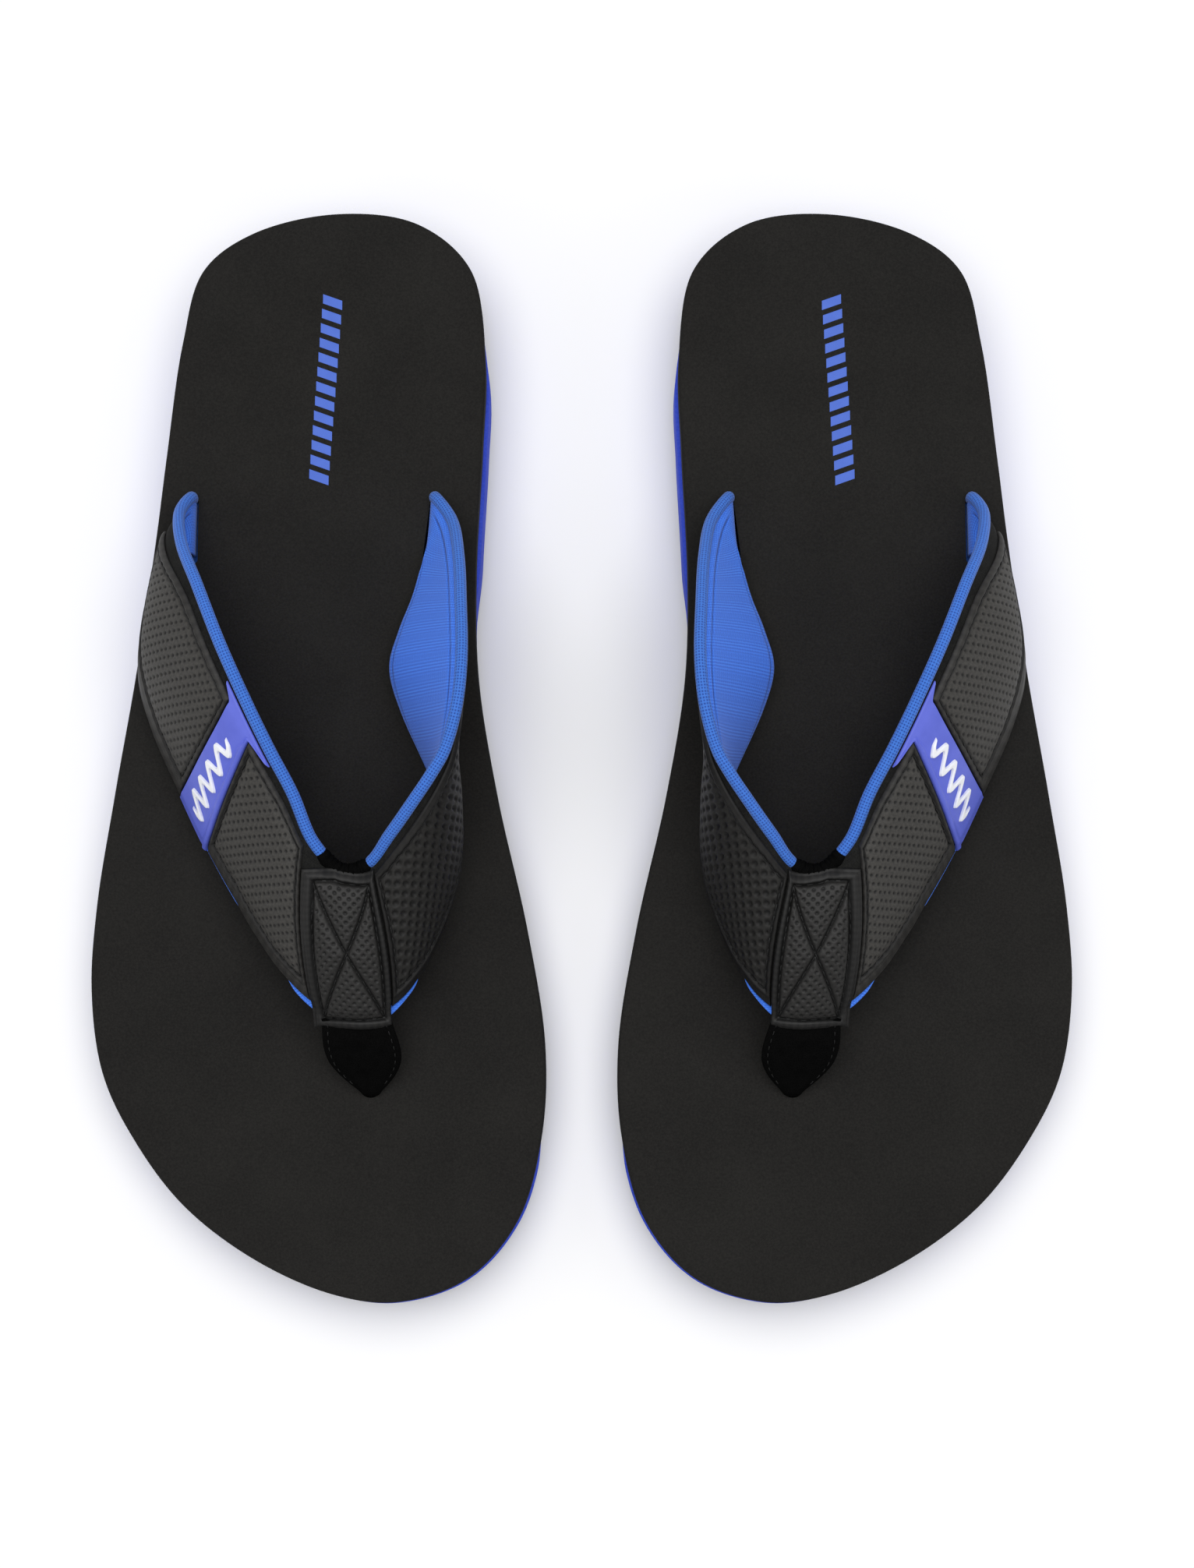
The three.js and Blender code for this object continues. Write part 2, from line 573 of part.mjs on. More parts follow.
function shoe(side) {
  const group = new THREE.Group();
  const add = (name, geometry, material) => {
    const mesh = new THREE.Mesh(geometry, material);
    mesh.name = `${side}_${name}`;
    group.add(mesh);
  };

  const layers = {
    outsole: [outsole(), outsoleRubber],
    midsole: [midsole(), midsoleFoam],
    footbed: [footbed(), footbedFoam],
  };
  for (const [name, [layer, material]] of Object.entries(layers)) {
    add(`${name}_rear`, geometryOf(layer.rear), material);
    add(`${name}_fore`, geometryOf(layer.fore), material);
  }

  for (const [arm, { lining, padded }] of Object.entries(arms)) {
    const steps = [24, 4];
    const edges = [plyRear, plyFront];
    add(`${arm}_lining`, ply(lining, [plyRear, at(1)], [liningBottom, liningTop], steps), liningKnit);
    add(`${arm}_padding`, ply(padded, edges, [paddingBottom, paddingTop], steps), paddingFoam);
    add(`${arm}_upper`, ply(padded, edges, [upperBottom, upperTop], steps), strapBlack);
    add(`${arm}_tail`, tail(slots[arm]), liningKnit);
  }

  const roll = [CENTRE_RIB - ROLL_SPAN, CENTRE_RIB + ROLL_SPAN];
  const rollRadius = BINDING_RADIUS * ROLL_FULLNESS;
  add("lateral_binding", edgeRoll(0, roll[0] - SEAM, BINDING_RADIUS, 22), liningKnit);
  add("medial_binding", edgeRoll(roll[1] + SEAM, LAST_RIB, BINDING_RADIUS, 22), liningKnit);
  add("centre_roll", edgeRoll(roll[0], roll[1], rollRadius, 4), webbingBlack);

  const panel = (name, span, steps) => {
    add(name, ply(span, [panelRear, plyFront], [panelBottom, panelTop], [steps, 4]), panelGrey);
  };
  panel("lateral_rear_panel", [at(PANEL_START), slanted(BADGE_START, -SEAM)], 8);
  panel("lateral_front_panel", [slanted(BADGE_END, SEAM), patchSide(-1, PATCH_GAP)], 6);
  panel("medial_panel", [patchSide(1, PATCH_GAP), at(LAST_RIB - PANEL_START)], 16);
  const badgeSpan = [slanted(BADGE_START, 0), slanted(BADGE_END, 0)];
  add("badge", ply(badgeSpan, [plyRear, plyFront], [panelBottom, badgeTop], [3, 4]), badgeBlue);
  add("badge_relief", badgeRelief(), reliefWhite);

  const patchSpan = [patchSide(-1, 0), patchSide(1, 0)];
  const patchEdges = [at(PATCH_REAR), at(1 + PATCH_OVERHANG)];
  add("centre_patch", ply(patchSpan, patchEdges, [panelBottom, patchTop], [4, 5]), panelGrey);

  add("toe_post", toePost(), webbingBlack);
  const plug = disc(TOE_HOLE, PLUG_RADIUS, plugLow, plugHigh, 24);
  add("toe_plug", plug, plugBlack);
  return group;
}

const pair = new THREE.Group();
const left = shoe("left");
const right = shoe("right");
right.scale.x = -1;
pair.add(left, right);

// The origin is on the ground, at the middle of the box around the pair.
const box = new THREE.Box3().setFromObject(pair);
pair.position.y = -(box.min.y + box.max.y) / 2;

export default pair;
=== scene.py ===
# %% [markdown]
# # A pair of flip flops
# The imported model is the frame: it says where the soles, slots, toe holes and joints are. This lesson
# dresses it. Every visible piece is worked out as a surface on a grid with numpy, laid over the same
# outline and the same strap ribs as the model, and then given a finish made of shader nodes.

# %% Load the frame
import math

import bpy
import numpy as np
from mathutils import Matrix, Vector


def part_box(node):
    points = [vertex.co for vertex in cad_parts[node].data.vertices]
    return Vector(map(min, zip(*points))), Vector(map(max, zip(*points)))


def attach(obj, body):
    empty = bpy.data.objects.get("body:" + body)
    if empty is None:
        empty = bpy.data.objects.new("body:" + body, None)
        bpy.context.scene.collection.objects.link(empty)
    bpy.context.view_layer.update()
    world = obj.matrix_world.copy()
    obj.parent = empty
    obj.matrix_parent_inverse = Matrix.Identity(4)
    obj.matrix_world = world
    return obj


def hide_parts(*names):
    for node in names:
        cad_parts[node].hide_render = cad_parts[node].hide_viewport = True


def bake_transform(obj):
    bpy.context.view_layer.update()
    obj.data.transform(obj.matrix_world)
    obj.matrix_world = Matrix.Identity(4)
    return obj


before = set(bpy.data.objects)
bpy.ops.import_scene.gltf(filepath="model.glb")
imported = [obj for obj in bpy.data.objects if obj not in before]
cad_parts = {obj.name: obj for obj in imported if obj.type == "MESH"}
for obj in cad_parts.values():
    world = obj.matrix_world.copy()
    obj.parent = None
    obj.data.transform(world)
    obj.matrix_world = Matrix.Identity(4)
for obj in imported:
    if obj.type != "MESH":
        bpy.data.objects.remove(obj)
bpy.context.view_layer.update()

# %% [markdown]
# ## Camera, light and floor
# The pair is looked at from almost straight above, a little from the toe end, through a long lens. The
# light is one broad softbox overhead with a pale sky round it, so that a soft shadow lies close round
# each sole, and a weak low lamp at either side, which adds a little light to the outer arms. Most of the
# outer arms' lighter tone is painted light in their leather. The floor is plain.

# %% Colours and the camera
MM = 0.001


def linear(code):
    """An sRGB hex code as linear red, green, blue and 1: c/12.92 when dark, ((c + 0.055)/1.055)^2.4 above."""
    parts = [int(code[i:i + 2], 16) / 255 for i in (1, 3, 5)]
    return tuple(c / 12.92 if c <= 0.04045 else ((c + 0.055) / 1.055) ** 2.4 for c in parts) + (1.0,)


def look_from(name, data, place, target):
    """An object at a place, its own -Z turned towards the target."""
    made = bpy.data.objects.new(name, data)
    made.location = place
    made.rotation_euler = (Vector(target) - Vector(place)).to_track_quat("-Z", "Y").to_euler()
    bpy.context.scene.collection.objects.link(made)
    return made


TARGET = Vector((3.9, -9.72, 18)) * MM
DISTANCE = 650 * MM
ELEVATION = math.radians(82.5)
FOCAL_LENGTH = 58.15
SENSOR_WIDTH = 36
lens = bpy.data.cameras.new("camera")
lens.lens = FOCAL_LENGTH
lens.sensor_width = SENSOR_WIDTH
lens.clip_start = 0.01
back = Vector((0, -math.cos(ELEVATION), math.sin(ELEVATION)))
bpy.context.scene.camera = look_from("camera", lens, TARGET + DISTANCE * back, TARGET)
bpy.context.scene.view_settings.view_transform = "Standard"
print("camera at", [round(c, 3) for c in bpy.context.scene.camera.location])

# %% Lights
# Each has its place and its width in metres, and its power in watts.
LIGHTS = {
    "overhead": ((0, 0.12, 1.5), 1.9, 21.5),
    "left_side": ((-0.4, -0.1, 0.26), 0.22, 0.14),
    "right_side": ((0.4, -0.1, 0.26), 0.22, 0.14),
}
for name, (place, size, watts) in LIGHTS.items():
    lamp = bpy.data.lights.new(name, "AREA")
    lamp.shape = "DISK"
    lamp.size = size
    lamp.energy = watts
    look_from(name, lamp, place, (0, 0, 0))
print("lights:", list(LIGHTS))


# %% Node tools
def add(material, kind, inputs=(), output=0, **settings):
    """Adds one node: inputs by socket name or number, each a value or another node's output to link."""
    made = material.node_tree.nodes.new(kind)
    for key, value in settings.items():
        setattr(made, key, value)
    for key, value in dict(inputs).items():
        if isinstance(value, bpy.types.NodeSocket):
            material.node_tree.links.new(value, made.inputs[key])
        else:
            made.inputs[key].default_value = value
    return made.outputs[output]


def new_material(name):
    """An empty node material."""
    made = bpy.data.materials.new(name)
    made.use_nodes = True
    made.node_tree.nodes.clear()
    return made


def finish_with(material, inputs):
    """Ends a material with a Principled surface that has these inputs."""
    surface = add(material, "ShaderNodeBsdfPrincipled", inputs)
    ending = material.node_tree.nodes.new("ShaderNodeOutputMaterial")
    material.node_tree.links.new(surface, ending.inputs["Surface"])
    return material


# %% Sky and floor
SKY_STRENGTH = 0.4
FLOOR_HALF = 3.0
FLOOR_DROP = 0.0002
sky = bpy.data.worlds.new("studio")
sky.use_nodes = True
sky.node_tree.nodes["Background"].inputs["Color"].default_value = linear("#fbfbfb")
sky.node_tree.nodes["Background"].inputs["Strength"].default_value = SKY_STRENGTH
bpy.context.scene.world = sky

floor_mesh = bpy.data.meshes.new("studio_floor")
corners = [(x * FLOOR_HALF, y * FLOOR_HALF, -FLOOR_DROP) for x, y in ((-1, -1), (1, -1), (1, 1), (-1, 1))]
floor_mesh.from_pydata(corners, [], [(0, 1, 2, 3)])
floor = bpy.data.objects.new("studio_floor", floor_mesh)
bpy.context.scene.collection.objects.link(floor)
paper = new_material("matt_paper")
floor_mesh.materials.append(finish_with(paper, {"Base Color": linear("#f8f8f8"), "Roughness": 0.9}))
print("floor", 2 * FLOOR_HALF, "m wide")

# %% [markdown]
# ## From numbers to meshes
# A piece is a table of points and a table of faces. Four small tools cover nearly all of them: a grid of
# faces, a thin body closed between two grids, a tube around a path, and a pillar of stacked sections.
# Points are drawn in millimetres. Only the left shoe is drawn, and the right one is its mirror image.

# %% Grids of faces, thin bodies and tubes
def smooth(t):
    """0 below 0 and 1 above 1, with 3t^2 - 2t^3 between them."""
    s = np.clip(t, 0, 1)
    return s * s * (3 - 2 * s)


def grid_faces(index):
    """Four-cornered faces between the neighbours in a table of point numbers."""
    corners = [index[:-1, :-1], index[:-1, 1:], index[1:, 1:], index[1:, :-1]]
    return np.stack(corners, axis=-1).reshape(-1, 4)


def two_sided(top, bottom, uv, **marks):
    """A closed thin body between two grids of points that share their rim. A mark is a pair of grids."""
    rows, cols = top.shape[:2]
    upper = np.arange(rows * cols).reshape(rows, cols)
    lower = upper.copy()
    lower[1:-1, 1:-1] = rows * cols + np.arange((rows - 2) * (cols - 2)).reshape(rows - 2, cols - 2)

    def both(a, b):
        return np.concatenate([a.reshape(rows * cols, -1), b[1:-1, 1:-1].reshape(-1, a[0, 0].size)])

    faces = np.concatenate([grid_faces(upper)[:, ::-1], grid_faces(lower)])
    uv_points = both(uv, uv)
    shape = {"points": both(top, bottom), "faces": [faces], "uv": [uv_points[faces]], "marks": {}}
    for name, (above, below) in marks.items():
        shape["marks"][name] = both(above, below).ravel()
    return shape


def wrapped(points, along, around):
    """A closed tube: rings of points one after another, with a flat face at each end."""
    rows, cols = points.shape[:2]
    index = np.arange(rows * cols).reshape(rows, cols)
    faces = grid_faces(np.concatenate([index, index[:, :1]], axis=1))
    table = np.stack(np.broadcast_arrays(along[:, None], around[None, :]), axis=-1)
    corner_uv = table.reshape(-1, 2)[grid_faces(np.arange(table[..., 0].size).reshape(rows, cols + 1))]
    ends = np.stack([index[0][::-1], index[-1]])
    end_uv = np.stack([table[0, :-1][::-1], table[-1, :-1]])
    flat = points.reshape(-1, 3)
    return {"points": flat, "faces": [faces, ends], "uv": [corner_uv, end_uv], "marks": {}}


def joined(shapes):
    """Several shapes as one table of points and faces."""
    counts = np.cumsum([0] + [len(s["points"]) for s in shapes])
    faces = [f + n for s, n in zip(shapes, counts) for f in s["faces"]]
    uv = [corner for s in shapes for corner in s["uv"]]
    return {"points": np.concatenate([s["points"] for s in shapes]), "faces": faces, "uv": uv, "marks": {}}


def volume(shape):
    """Six times the volume that the faces enclose: the sum of a . (b x c) over a fan of triangles."""
    total = 0.0
    for faces in shape["faces"]:
        corner = shape["points"][faces]
        for k in range(1, faces.shape[1] - 1):
            total += np.einsum("ij,ij->", corner[:, 0], np.cross(corner[:, k], corner[:, k + 1]))
    return total


# %% Meshes, and a left and a right piece from each
SIDES = ("left", "right")
# The drawing's heel end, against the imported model's: the drawing is moved along by the difference.
DRAWN_HEEL = 143.9
SHIFT = Vector((0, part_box("left_midsole_rear")[1].y / MM - DRAWN_HEEL, 0))


def mesh_of(name, shape, sharp=40):
    """A Blender mesh in metres, facing out, smooth except where faces meet at more than a sharp angle."""
    turn = -1 if volume(shape) < 0 else 1
    faces = [f[:, ::turn] for f in shape["faces"]]
    made = bpy.data.meshes.new(name)
    points = (shape["points"] + np.array(SHIFT)) * MM
    made.from_pydata(points, [], [row for f in faces for row in f.tolist()])
    if shape["uv"]:
        layer = made.uv_layers.new(name="UVMap")
        corners = np.concatenate([c[:, ::turn].reshape(-1, 2) for c in shape["uv"]])
        layer.data.foreach_set("uv", corners.astype(np.float32).ravel())
    for mark, values in shape["marks"].items():
        made.attributes.new(mark, "FLOAT", "POINT").data.foreach_set("value", values.astype(np.float32))
    made.polygons.foreach_set("use_smooth", np.ones(len(made.polygons), bool))
    made.set_sharp_from_angle(angle=math.radians(sharp))
    return made


def pair_of(name, mesh, material):
    """A left piece with this mesh and a right one with its mirror image."""
    mesh.materials.append(material)
    made = {"left": bpy.data.objects.new("left_" + name, mesh)}
    mirrored = mesh.copy()
    mirrored.transform(Matrix.Diagonal((-1, 1, 1, 1)))
    mirrored.flip_normals()
    made["right"] = bpy.data.objects.new("right_" + name, mirrored)
    for piece in made.values():
        bpy.context.scene.collection.objects.link(piece)
    print(name, len(mesh.polygons), "faces each")
    return made


print("the drawing is moved along by", round(SHIFT.y, 3), "mm")

# %% [markdown]
# ## The last
# The sole's outline is one closed curve through a few points, walked in pairs: an outer and an inner
# point at each of many places along the shoe. The top can then be filled with straight rows between the
# two, while the wall follows the curve's own normals. Heights come from the model's layers.

# %% Outline
OUTLINE = np.array([
    (64, 143), (86.5, 137.5), (99, 127.5), (104, 108), (107.5, 78), (110, 54), (114.4, 22), (120, -10),
    (124.3, -38), (125.2, -60), (121.8, -81), (113.5, -97.5), (100.5, -114), (82, -127.5), (62, -136),
    (46, -137.8), (28.5, -132), (16.2, -118), (10.2, -97), (9.3, -74), (14, -44), (21.7, -10), (26.6, 20),
    (27.3, 46), (25.8, 80), (25.2, 104), (29.2, 128), (43, 140.2),
], float)
STATIONS = 150


def loop_curve(corners, steps):
    """A closed Catmull-Rom curve whose knots are the square root of the distance between corners apart."""
    p0, p1, p2, p3 = (np.roll(corners, k, axis=0) for k in (1, 0, -1, -2))
    d0, d1, d2 = (np.sqrt(np.linalg.norm(b - a, axis=1))[:, None] for a, b in ((p0, p1), (p1, p2), (p2, p3)))
    m1 = ((p1 - p0) / d0 - (p2 - p0) / (d0 + d1) + (p2 - p1) / d1) * d1
    m2 = ((p2 - p1) / d1 - (p3 - p1) / (d1 + d2) + (p3 - p2) / d2) * d1
    t = (np.arange(steps) / steps)[None, :, None]
    p1, p2, m1, m2 = (a[:, None] for a in (p1, p2, m1, m2))
    ease = 3 * t**2 - 2 * t**3
    return (p1 + (p2 - p1) * ease + m1 * (t**3 - 2 * t**2 + t) + m2 * (t**3 - t**2)).reshape(-1, 2)


def outline_ring():
    """The outline from the heel along the outer side to the toe and back: 2 STATIONS points in pairs."""
    fine = loop_curve(OUTLINE, 80)
    fine = np.roll(fine, -np.argmax(fine[:, 1]), axis=0)
    toe = np.argmin(fine[:, 1])
    outer, inner = fine[:toe + 1], np.concatenate([fine[toe:], fine[:1]])
    high, low = outer[0, 1], outer[-1, 1]
    y = (high + low) / 2 + (high - low) / 2 * np.cos(np.pi * np.arange(STATIONS + 1) / STATIONS)
    outer_x = np.interp(-y, -outer[:, 1], outer[:, 0])
    inner_x = np.interp(y, inner[:, 1], inner[:, 0])
    outer_x[-1] = inner_x[-1] = outer[-1, 0]
    inner_x[0] = outer_x[0]
    ring = [np.stack([outer_x, y], axis=1), np.stack([inner_x, y], axis=1)[-2:0:-1]]
    return np.concatenate(ring)


RING = outline_ring()
ring_ahead = np.roll(RING, -1, axis=0) - np.roll(RING, 1, axis=0)
RING_OUT = np.stack([-ring_ahead[:, 1], ring_ahead[:, 0]], axis=1)
RING_OUT /= np.linalg.norm(RING_OUT, axis=1)[:, None]
print("outline of", len(RING), "points")

# %% Heights of the layers
OUTSOLE = 3.7
MIDSOLE_HEEL = 13.7
MIDSOLE_FOREFOOT = 4.7
FOOTBED = 6.0
LAYER_GAP = 0.3
WEDGE_FOOT, WEDGE_TOP = -50, 60
SPRING_START, SPRING_LENGTH, SPRING_RISE = -95, 43, 3.0


def outsole_bottom(y):
    """The toe spring: the rise times the square of the share of the way from its start to the tip."""
    return SPRING_RISE * np.clip((SPRING_START - y) / SPRING_LENGTH, 0, None) ** 2


def outsole_top(y):
    """The rubber sheet is equally thick all over."""
    return outsole_bottom(y) + OUTSOLE


def midsole_bottom(y):
    """The outsole's top and the glue."""
    return outsole_top(y) + LAYER_GAP


def midsole_top(y):
    """The wedge: a smooth ramp from the forefoot's thickness to the heel's."""
    ramp = smooth((y - WEDGE_FOOT) / (WEDGE_TOP - WEDGE_FOOT))
    return midsole_bottom(y) + MIDSOLE_FOREFOOT + (MIDSOLE_HEEL - MIDSOLE_FOREFOOT) * ramp


def footbed_bottom(y):
    """The midsole's top and the glue."""
    return midsole_top(y) + LAYER_GAP


def footbed_top(y):
    """The surface that the foot stands on."""
    return footbed_bottom(y) + FOOTBED


print("footbed from", footbed_top(-60.0), "to", footbed_top(100.0), "mm high")

# %% A layer of the sole
CAP_COLUMNS = 48
OUTSOLE_INSET = 1.0


def even_reach(mm):
    """A layer's reach past the outline that is the same all round."""
    return lambda y: np.full_like(y, mm)


def midsole_reach(y):
    """How far the midsole stands out past the footbed: -0.5 mm at the arch, where the footbed hides it,
    plus 1.4 mm along the heel, between smooth steps at both its ends, plus 1 mm round the toe."""
    along_heel = smooth((y - 34) / 18) * smooth((120 - y) / 30)
    round_toe = smooth((-92 - y) / 14)
    return -0.5 + 1.4 * along_heel + 1.0 * round_toe


def layer_shape(reach, bottom, top, rounding):
    """Rings up the wall, rounded over a quarter circle at both edges, and rows of faces across both ends."""
    lower, upper = rounding
    arc = np.linspace(0, np.pi / 2, 4)
    steps = [(-lower * (1 - np.sin(a)), 0, lower * (1 - np.cos(a))) for a in arc]
    steps += [(-upper * (1 - np.cos(a)), 1, -upper * (1 - np.sin(a))) for a in arc]
    rings = []
    for out, at_top, lift in steps:
        plan = RING + RING_OUT * (reach(RING[:, 1])[:, None] + out)
        level = (top if at_top else bottom)(plan[:, 1])
        rings.append(np.column_stack([plan, level + lift]))
    rings = np.stack(rings)
    count = 2 * STATIONS
    index = np.arange(rings.shape[0] * count).reshape(-1, count)
    wall = grid_faces(np.concatenate([index, index[:, :1]], axis=1))[:, ::-1]
    points, faces = [rings.reshape(-1, 3)], [wall]
    share = np.arange(1, CAP_COLUMNS)[None, :, None] / CAP_COLUMNS
    here, facing = np.arange(STATIONS + 1), (count - np.arange(STATIONS + 1)) % count
    for row, level, turn in ((-1, top, 1), (0, bottom, -1)):
        outer, inner = index[row][here], index[row][facing]
        start, end = rings[row][here], rings[row][facing]
        middle = start[1:-1, None] + (end[1:-1, None] - start[1:-1, None]) * share
        middle[..., 2] = level(middle[..., 1])
        first = sum(len(p) for p in points)
        table = np.empty((STATIONS + 1, CAP_COLUMNS + 1), int)
        table[:, 0], table[:, -1] = outer, inner
        table[1:-1, 1:-1] = first + np.arange(middle[..., 0].size).reshape(middle.shape[:2])
        table[0, 1:-1], table[-1, 1:-1] = outer[0], outer[-1]
        points.append(middle.reshape(-1, 3))
        faces.append(grid_faces(table[1:-1])[:, ::turn])
        near, far = table[1], table[-2]
        for a, b, tip in ((near[1:], near[:-1], table[0, 0]), (far[:-1], far[1:], table[-1, 0])):
            faces.append(np.stack([a, b, np.full(CAP_COLUMNS, tip)], axis=1)[:, ::turn])
    return {"points": np.concatenate(points), "faces": faces, "uv": [], "marks": {}}


print("each layer has", CAP_COLUMNS * STATIONS, "faces on top")


# %% Pillars, and a cut with them
def pillar(place, rows, around=40):
    """Upright stacked sections, each a bar with round ends: rows of height, half length and half width."""
    x, y, turn = place
    angle = 2 * np.pi * np.arange(around) / around
    rows = np.array(rows, float)
    half_long, half_wide = rows[:, 1:2], rows[:, 2:3]
    along = np.sign(np.sin(angle)) * (half_long - half_wide) + np.sin(angle) * half_wide
    across = np.cos(angle) * half_wide
    c, s = math.cos(math.radians(turn)), math.sin(math.radians(turn))
    points = np.stack([x + across * c - along * s, y + across * s + along * c], axis=-1)
    height = np.broadcast_to(rows[:, :1], across.shape)
    return wrapped(np.concatenate([points, height[..., None]], axis=-1), rows[:, 0], np.arange(around + 1.0))


def carve(name, shape, cutters, sharp=40):
    """The mesh of a shape with closed cutters taken out of it."""
    body = bpy.data.objects.new("body", mesh_of(name, shape, sharp))
    knife = bpy.data.objects.new("knife", mesh_of("knife", joined(cutters)))
    for made in (body, knife):
        bpy.context.scene.collection.objects.link(made)
    cut = body.modifiers.new("cut", "BOOLEAN")
    cut.operation, cut.solver, cut.object = "DIFFERENCE", "EXACT", knife
    result = bpy.data.meshes.new_from_object(body.evaluated_get(bpy.context.evaluated_depsgraph_get()))
    result.name = name
    for made in (body, knife):
        bpy.data.objects.remove(made)
    result.set_sharp_from_angle(angle=math.radians(sharp))
    return result


TOE_HOLE = (53.5, -84, 0)
SLOTS = {"lateral": (100.4, 58, 0), "medial": (38.6, 58, 7)}
TAIL_HALF_LONG = 8.5
TAIL_HALF_WIDE = 1.1
CLEARANCE = 0.4
POST_RADIUS = 2.6
PLUG_RADIUS = 9.0
POCKET_TOP = OUTSOLE + LAYER_GAP + 2.4
SEAT_TOP = OUTSOLE + LAYER_GAP + 2.8
FLANGE = 4.5
CUT_TOP = 60 # well above the footbed
print("slots at", SLOTS, "and the toe hole at", TOE_HOLE)

# %% [markdown]
# ## Foam and rubber
# The footbed and the wedge are EVA, a closed-cell foam cut from a pressed block. It is matt, almost
# without a highlight, and its skin shows fine pores and specks. The outsole is moulded rubber, a little
# harder and smoother, with wavy tread grooves across it.

# %% Material: pressed EVA foam
def foam_material(name, dark, light, pore_mm, gloss):
    """Two close tones mixed by fine noise, with the same noise as pores in the skin."""
    made = new_material(name)
    place = add(made, "ShaderNodeTexCoord", output="Object")
    pores = add(made, "ShaderNodeTexNoise",
                {"Vector": place, "Scale": 1 / (pore_mm * MM), "Detail": 3.0, "Roughness": 0.65})
    clouds = add(made, "ShaderNodeTexNoise", {"Vector": place, "Scale": 1 / (22 * MM), "Detail": 2.0})
    grain = add(made, "ShaderNodeMapRange",
                {"Value": pores, "From Min": 0.32, "From Max": 0.72, "To Min": 0.0, "To Max": 0.8})
    drift = add(made, "ShaderNodeMapRange",
                {"Value": clouds, "From Min": 0.3, "From Max": 0.7, "To Min": -0.12, "To Max": 0.2})
    share = add(made, "ShaderNodeMath", {0: grain, 1: drift}, operation="ADD", use_clamp=True)
    colour = add(made, "ShaderNodeMix", {"Factor": share, "A": linear(dark), "B": linear(light)},
                 output="Result", data_type="RGBA")
    bump = add(made, "ShaderNodeBump", {"Height": pores, "Strength": 0.35, "Distance": 0.12 * MM})
    return finish_with(made, {"Base Color": colour, "Roughness": 0.85, "Normal": bump,
                              "Specular IOR Level": gloss})


# Cut from a pressed block: charcoal, quite matt, with fine specks.
footbed_foam = foam_material("pressed_eva_black", "#151413", "#232220", 0.55, 0.18)
# The same foam dyed through, with its moulded skin left on: a little smoother.
midsole_foam = foam_material("pressed_eva_blue", "#2f46c4", "#4059d8", 0.7, 0.3)
# Moulded against steel: black, with a dull shine.
outsole_rubber = foam_material("moulded_rubber_black", "#151516", "#232325", 1.2, 0.4)
print("sole finishes:", footbed_foam.name, midsole_foam.name, outsole_rubber.name)

# %% Sole layers
def slot_pillar(place, grow):
    """A slot right through a layer."""
    half_long, half_wide = TAIL_HALF_LONG + grow, TAIL_HALF_WIDE + grow
    return pillar(place, [(0, half_long, half_wide), (CUT_TOP, half_long, half_wide)])


def tread_bar(place, rise):
    """A wavy bar across the sole, to be taken out of the outsole: y = place + 1.2 sin(2 pi x / 16)."""
    x = np.arange(0.0, 134.0, 1.0)
    y = place + 1.2 * np.sin(2 * np.pi * x / 16)
    corners = [(-1.5, -3.0), (1.5, -3.0), (1.2, 1.5), (-1.2, 1.5)]
    ring = [np.column_stack([x, y + dy, np.full_like(x, rise + dz)]) for dy, dz in corners]
    return wrapped(np.stack(ring, axis=1), x, np.arange(5.0))


TREAD_PLACES = (-118, -104, -90, -76, -42, -28, 62, 78, 94, 110)
hole = [(z, POST_RADIUS + CLEARANCE, POST_RADIUS + CLEARANCE) for z in (0, CUT_TOP)]
footbed_cuts = [slot_pillar(place, CLEARANCE) for place in SLOTS.values()] + [pillar(TOE_HOLE, hole)]
shape = layer_shape(even_reach(0), footbed_bottom, footbed_top, (0.3, 0.9))
footbed = pair_of("footbed_sheet", carve("footbed_sheet", shape, footbed_cuts), footbed_foam)

wide = TAIL_HALF_WIDE + CLEARANCE
long = TAIL_HALF_LONG + CLEARANCE
seat = PLUG_RADIUS + CLEARANCE
pocket = [(0, long + FLANGE, wide + FLANGE), (POCKET_TOP, long + FLANGE, wide + FLANGE),
          (POCKET_TOP, long, wide), (CUT_TOP, long, wide)]
plug_seat = [(0, seat, seat), (SEAT_TOP, seat, seat), (SEAT_TOP,) + hole[0][1:], hole[1]]
midsole_cuts = [pillar(place, pocket) for place in SLOTS.values()] + [pillar(TOE_HOLE, plug_seat)]
shape = layer_shape(midsole_reach, midsole_bottom, midsole_top, (0.6, 0.5))
midsole = pair_of("midsole_wedge", carve("midsole_wedge", shape, midsole_cuts), midsole_foam)

tread_cuts = [tread_bar(place, float(outsole_bottom(np.float64(place)))) for place in TREAD_PLACES]
shape = layer_shape(even_reach(-OUTSOLE_INSET), outsole_bottom, outsole_top, (0.6, 0.2))
outsole = pair_of("outsole_tread", carve("outsole_sheet", shape, tread_cuts), outsole_rubber)

# %% [markdown]
# ## The strap's surface
# Both arms are one ribbon, drawn as ribs from the outer slot over the foot to the inner slot. A smooth
# curve runs through the ribs' rear ends and another through their front ends, and the ribbon is ruled
# between them. Every ply is the same ribbon at another height along its normal. One more rib at each
# end takes the ribbon down into its slot.

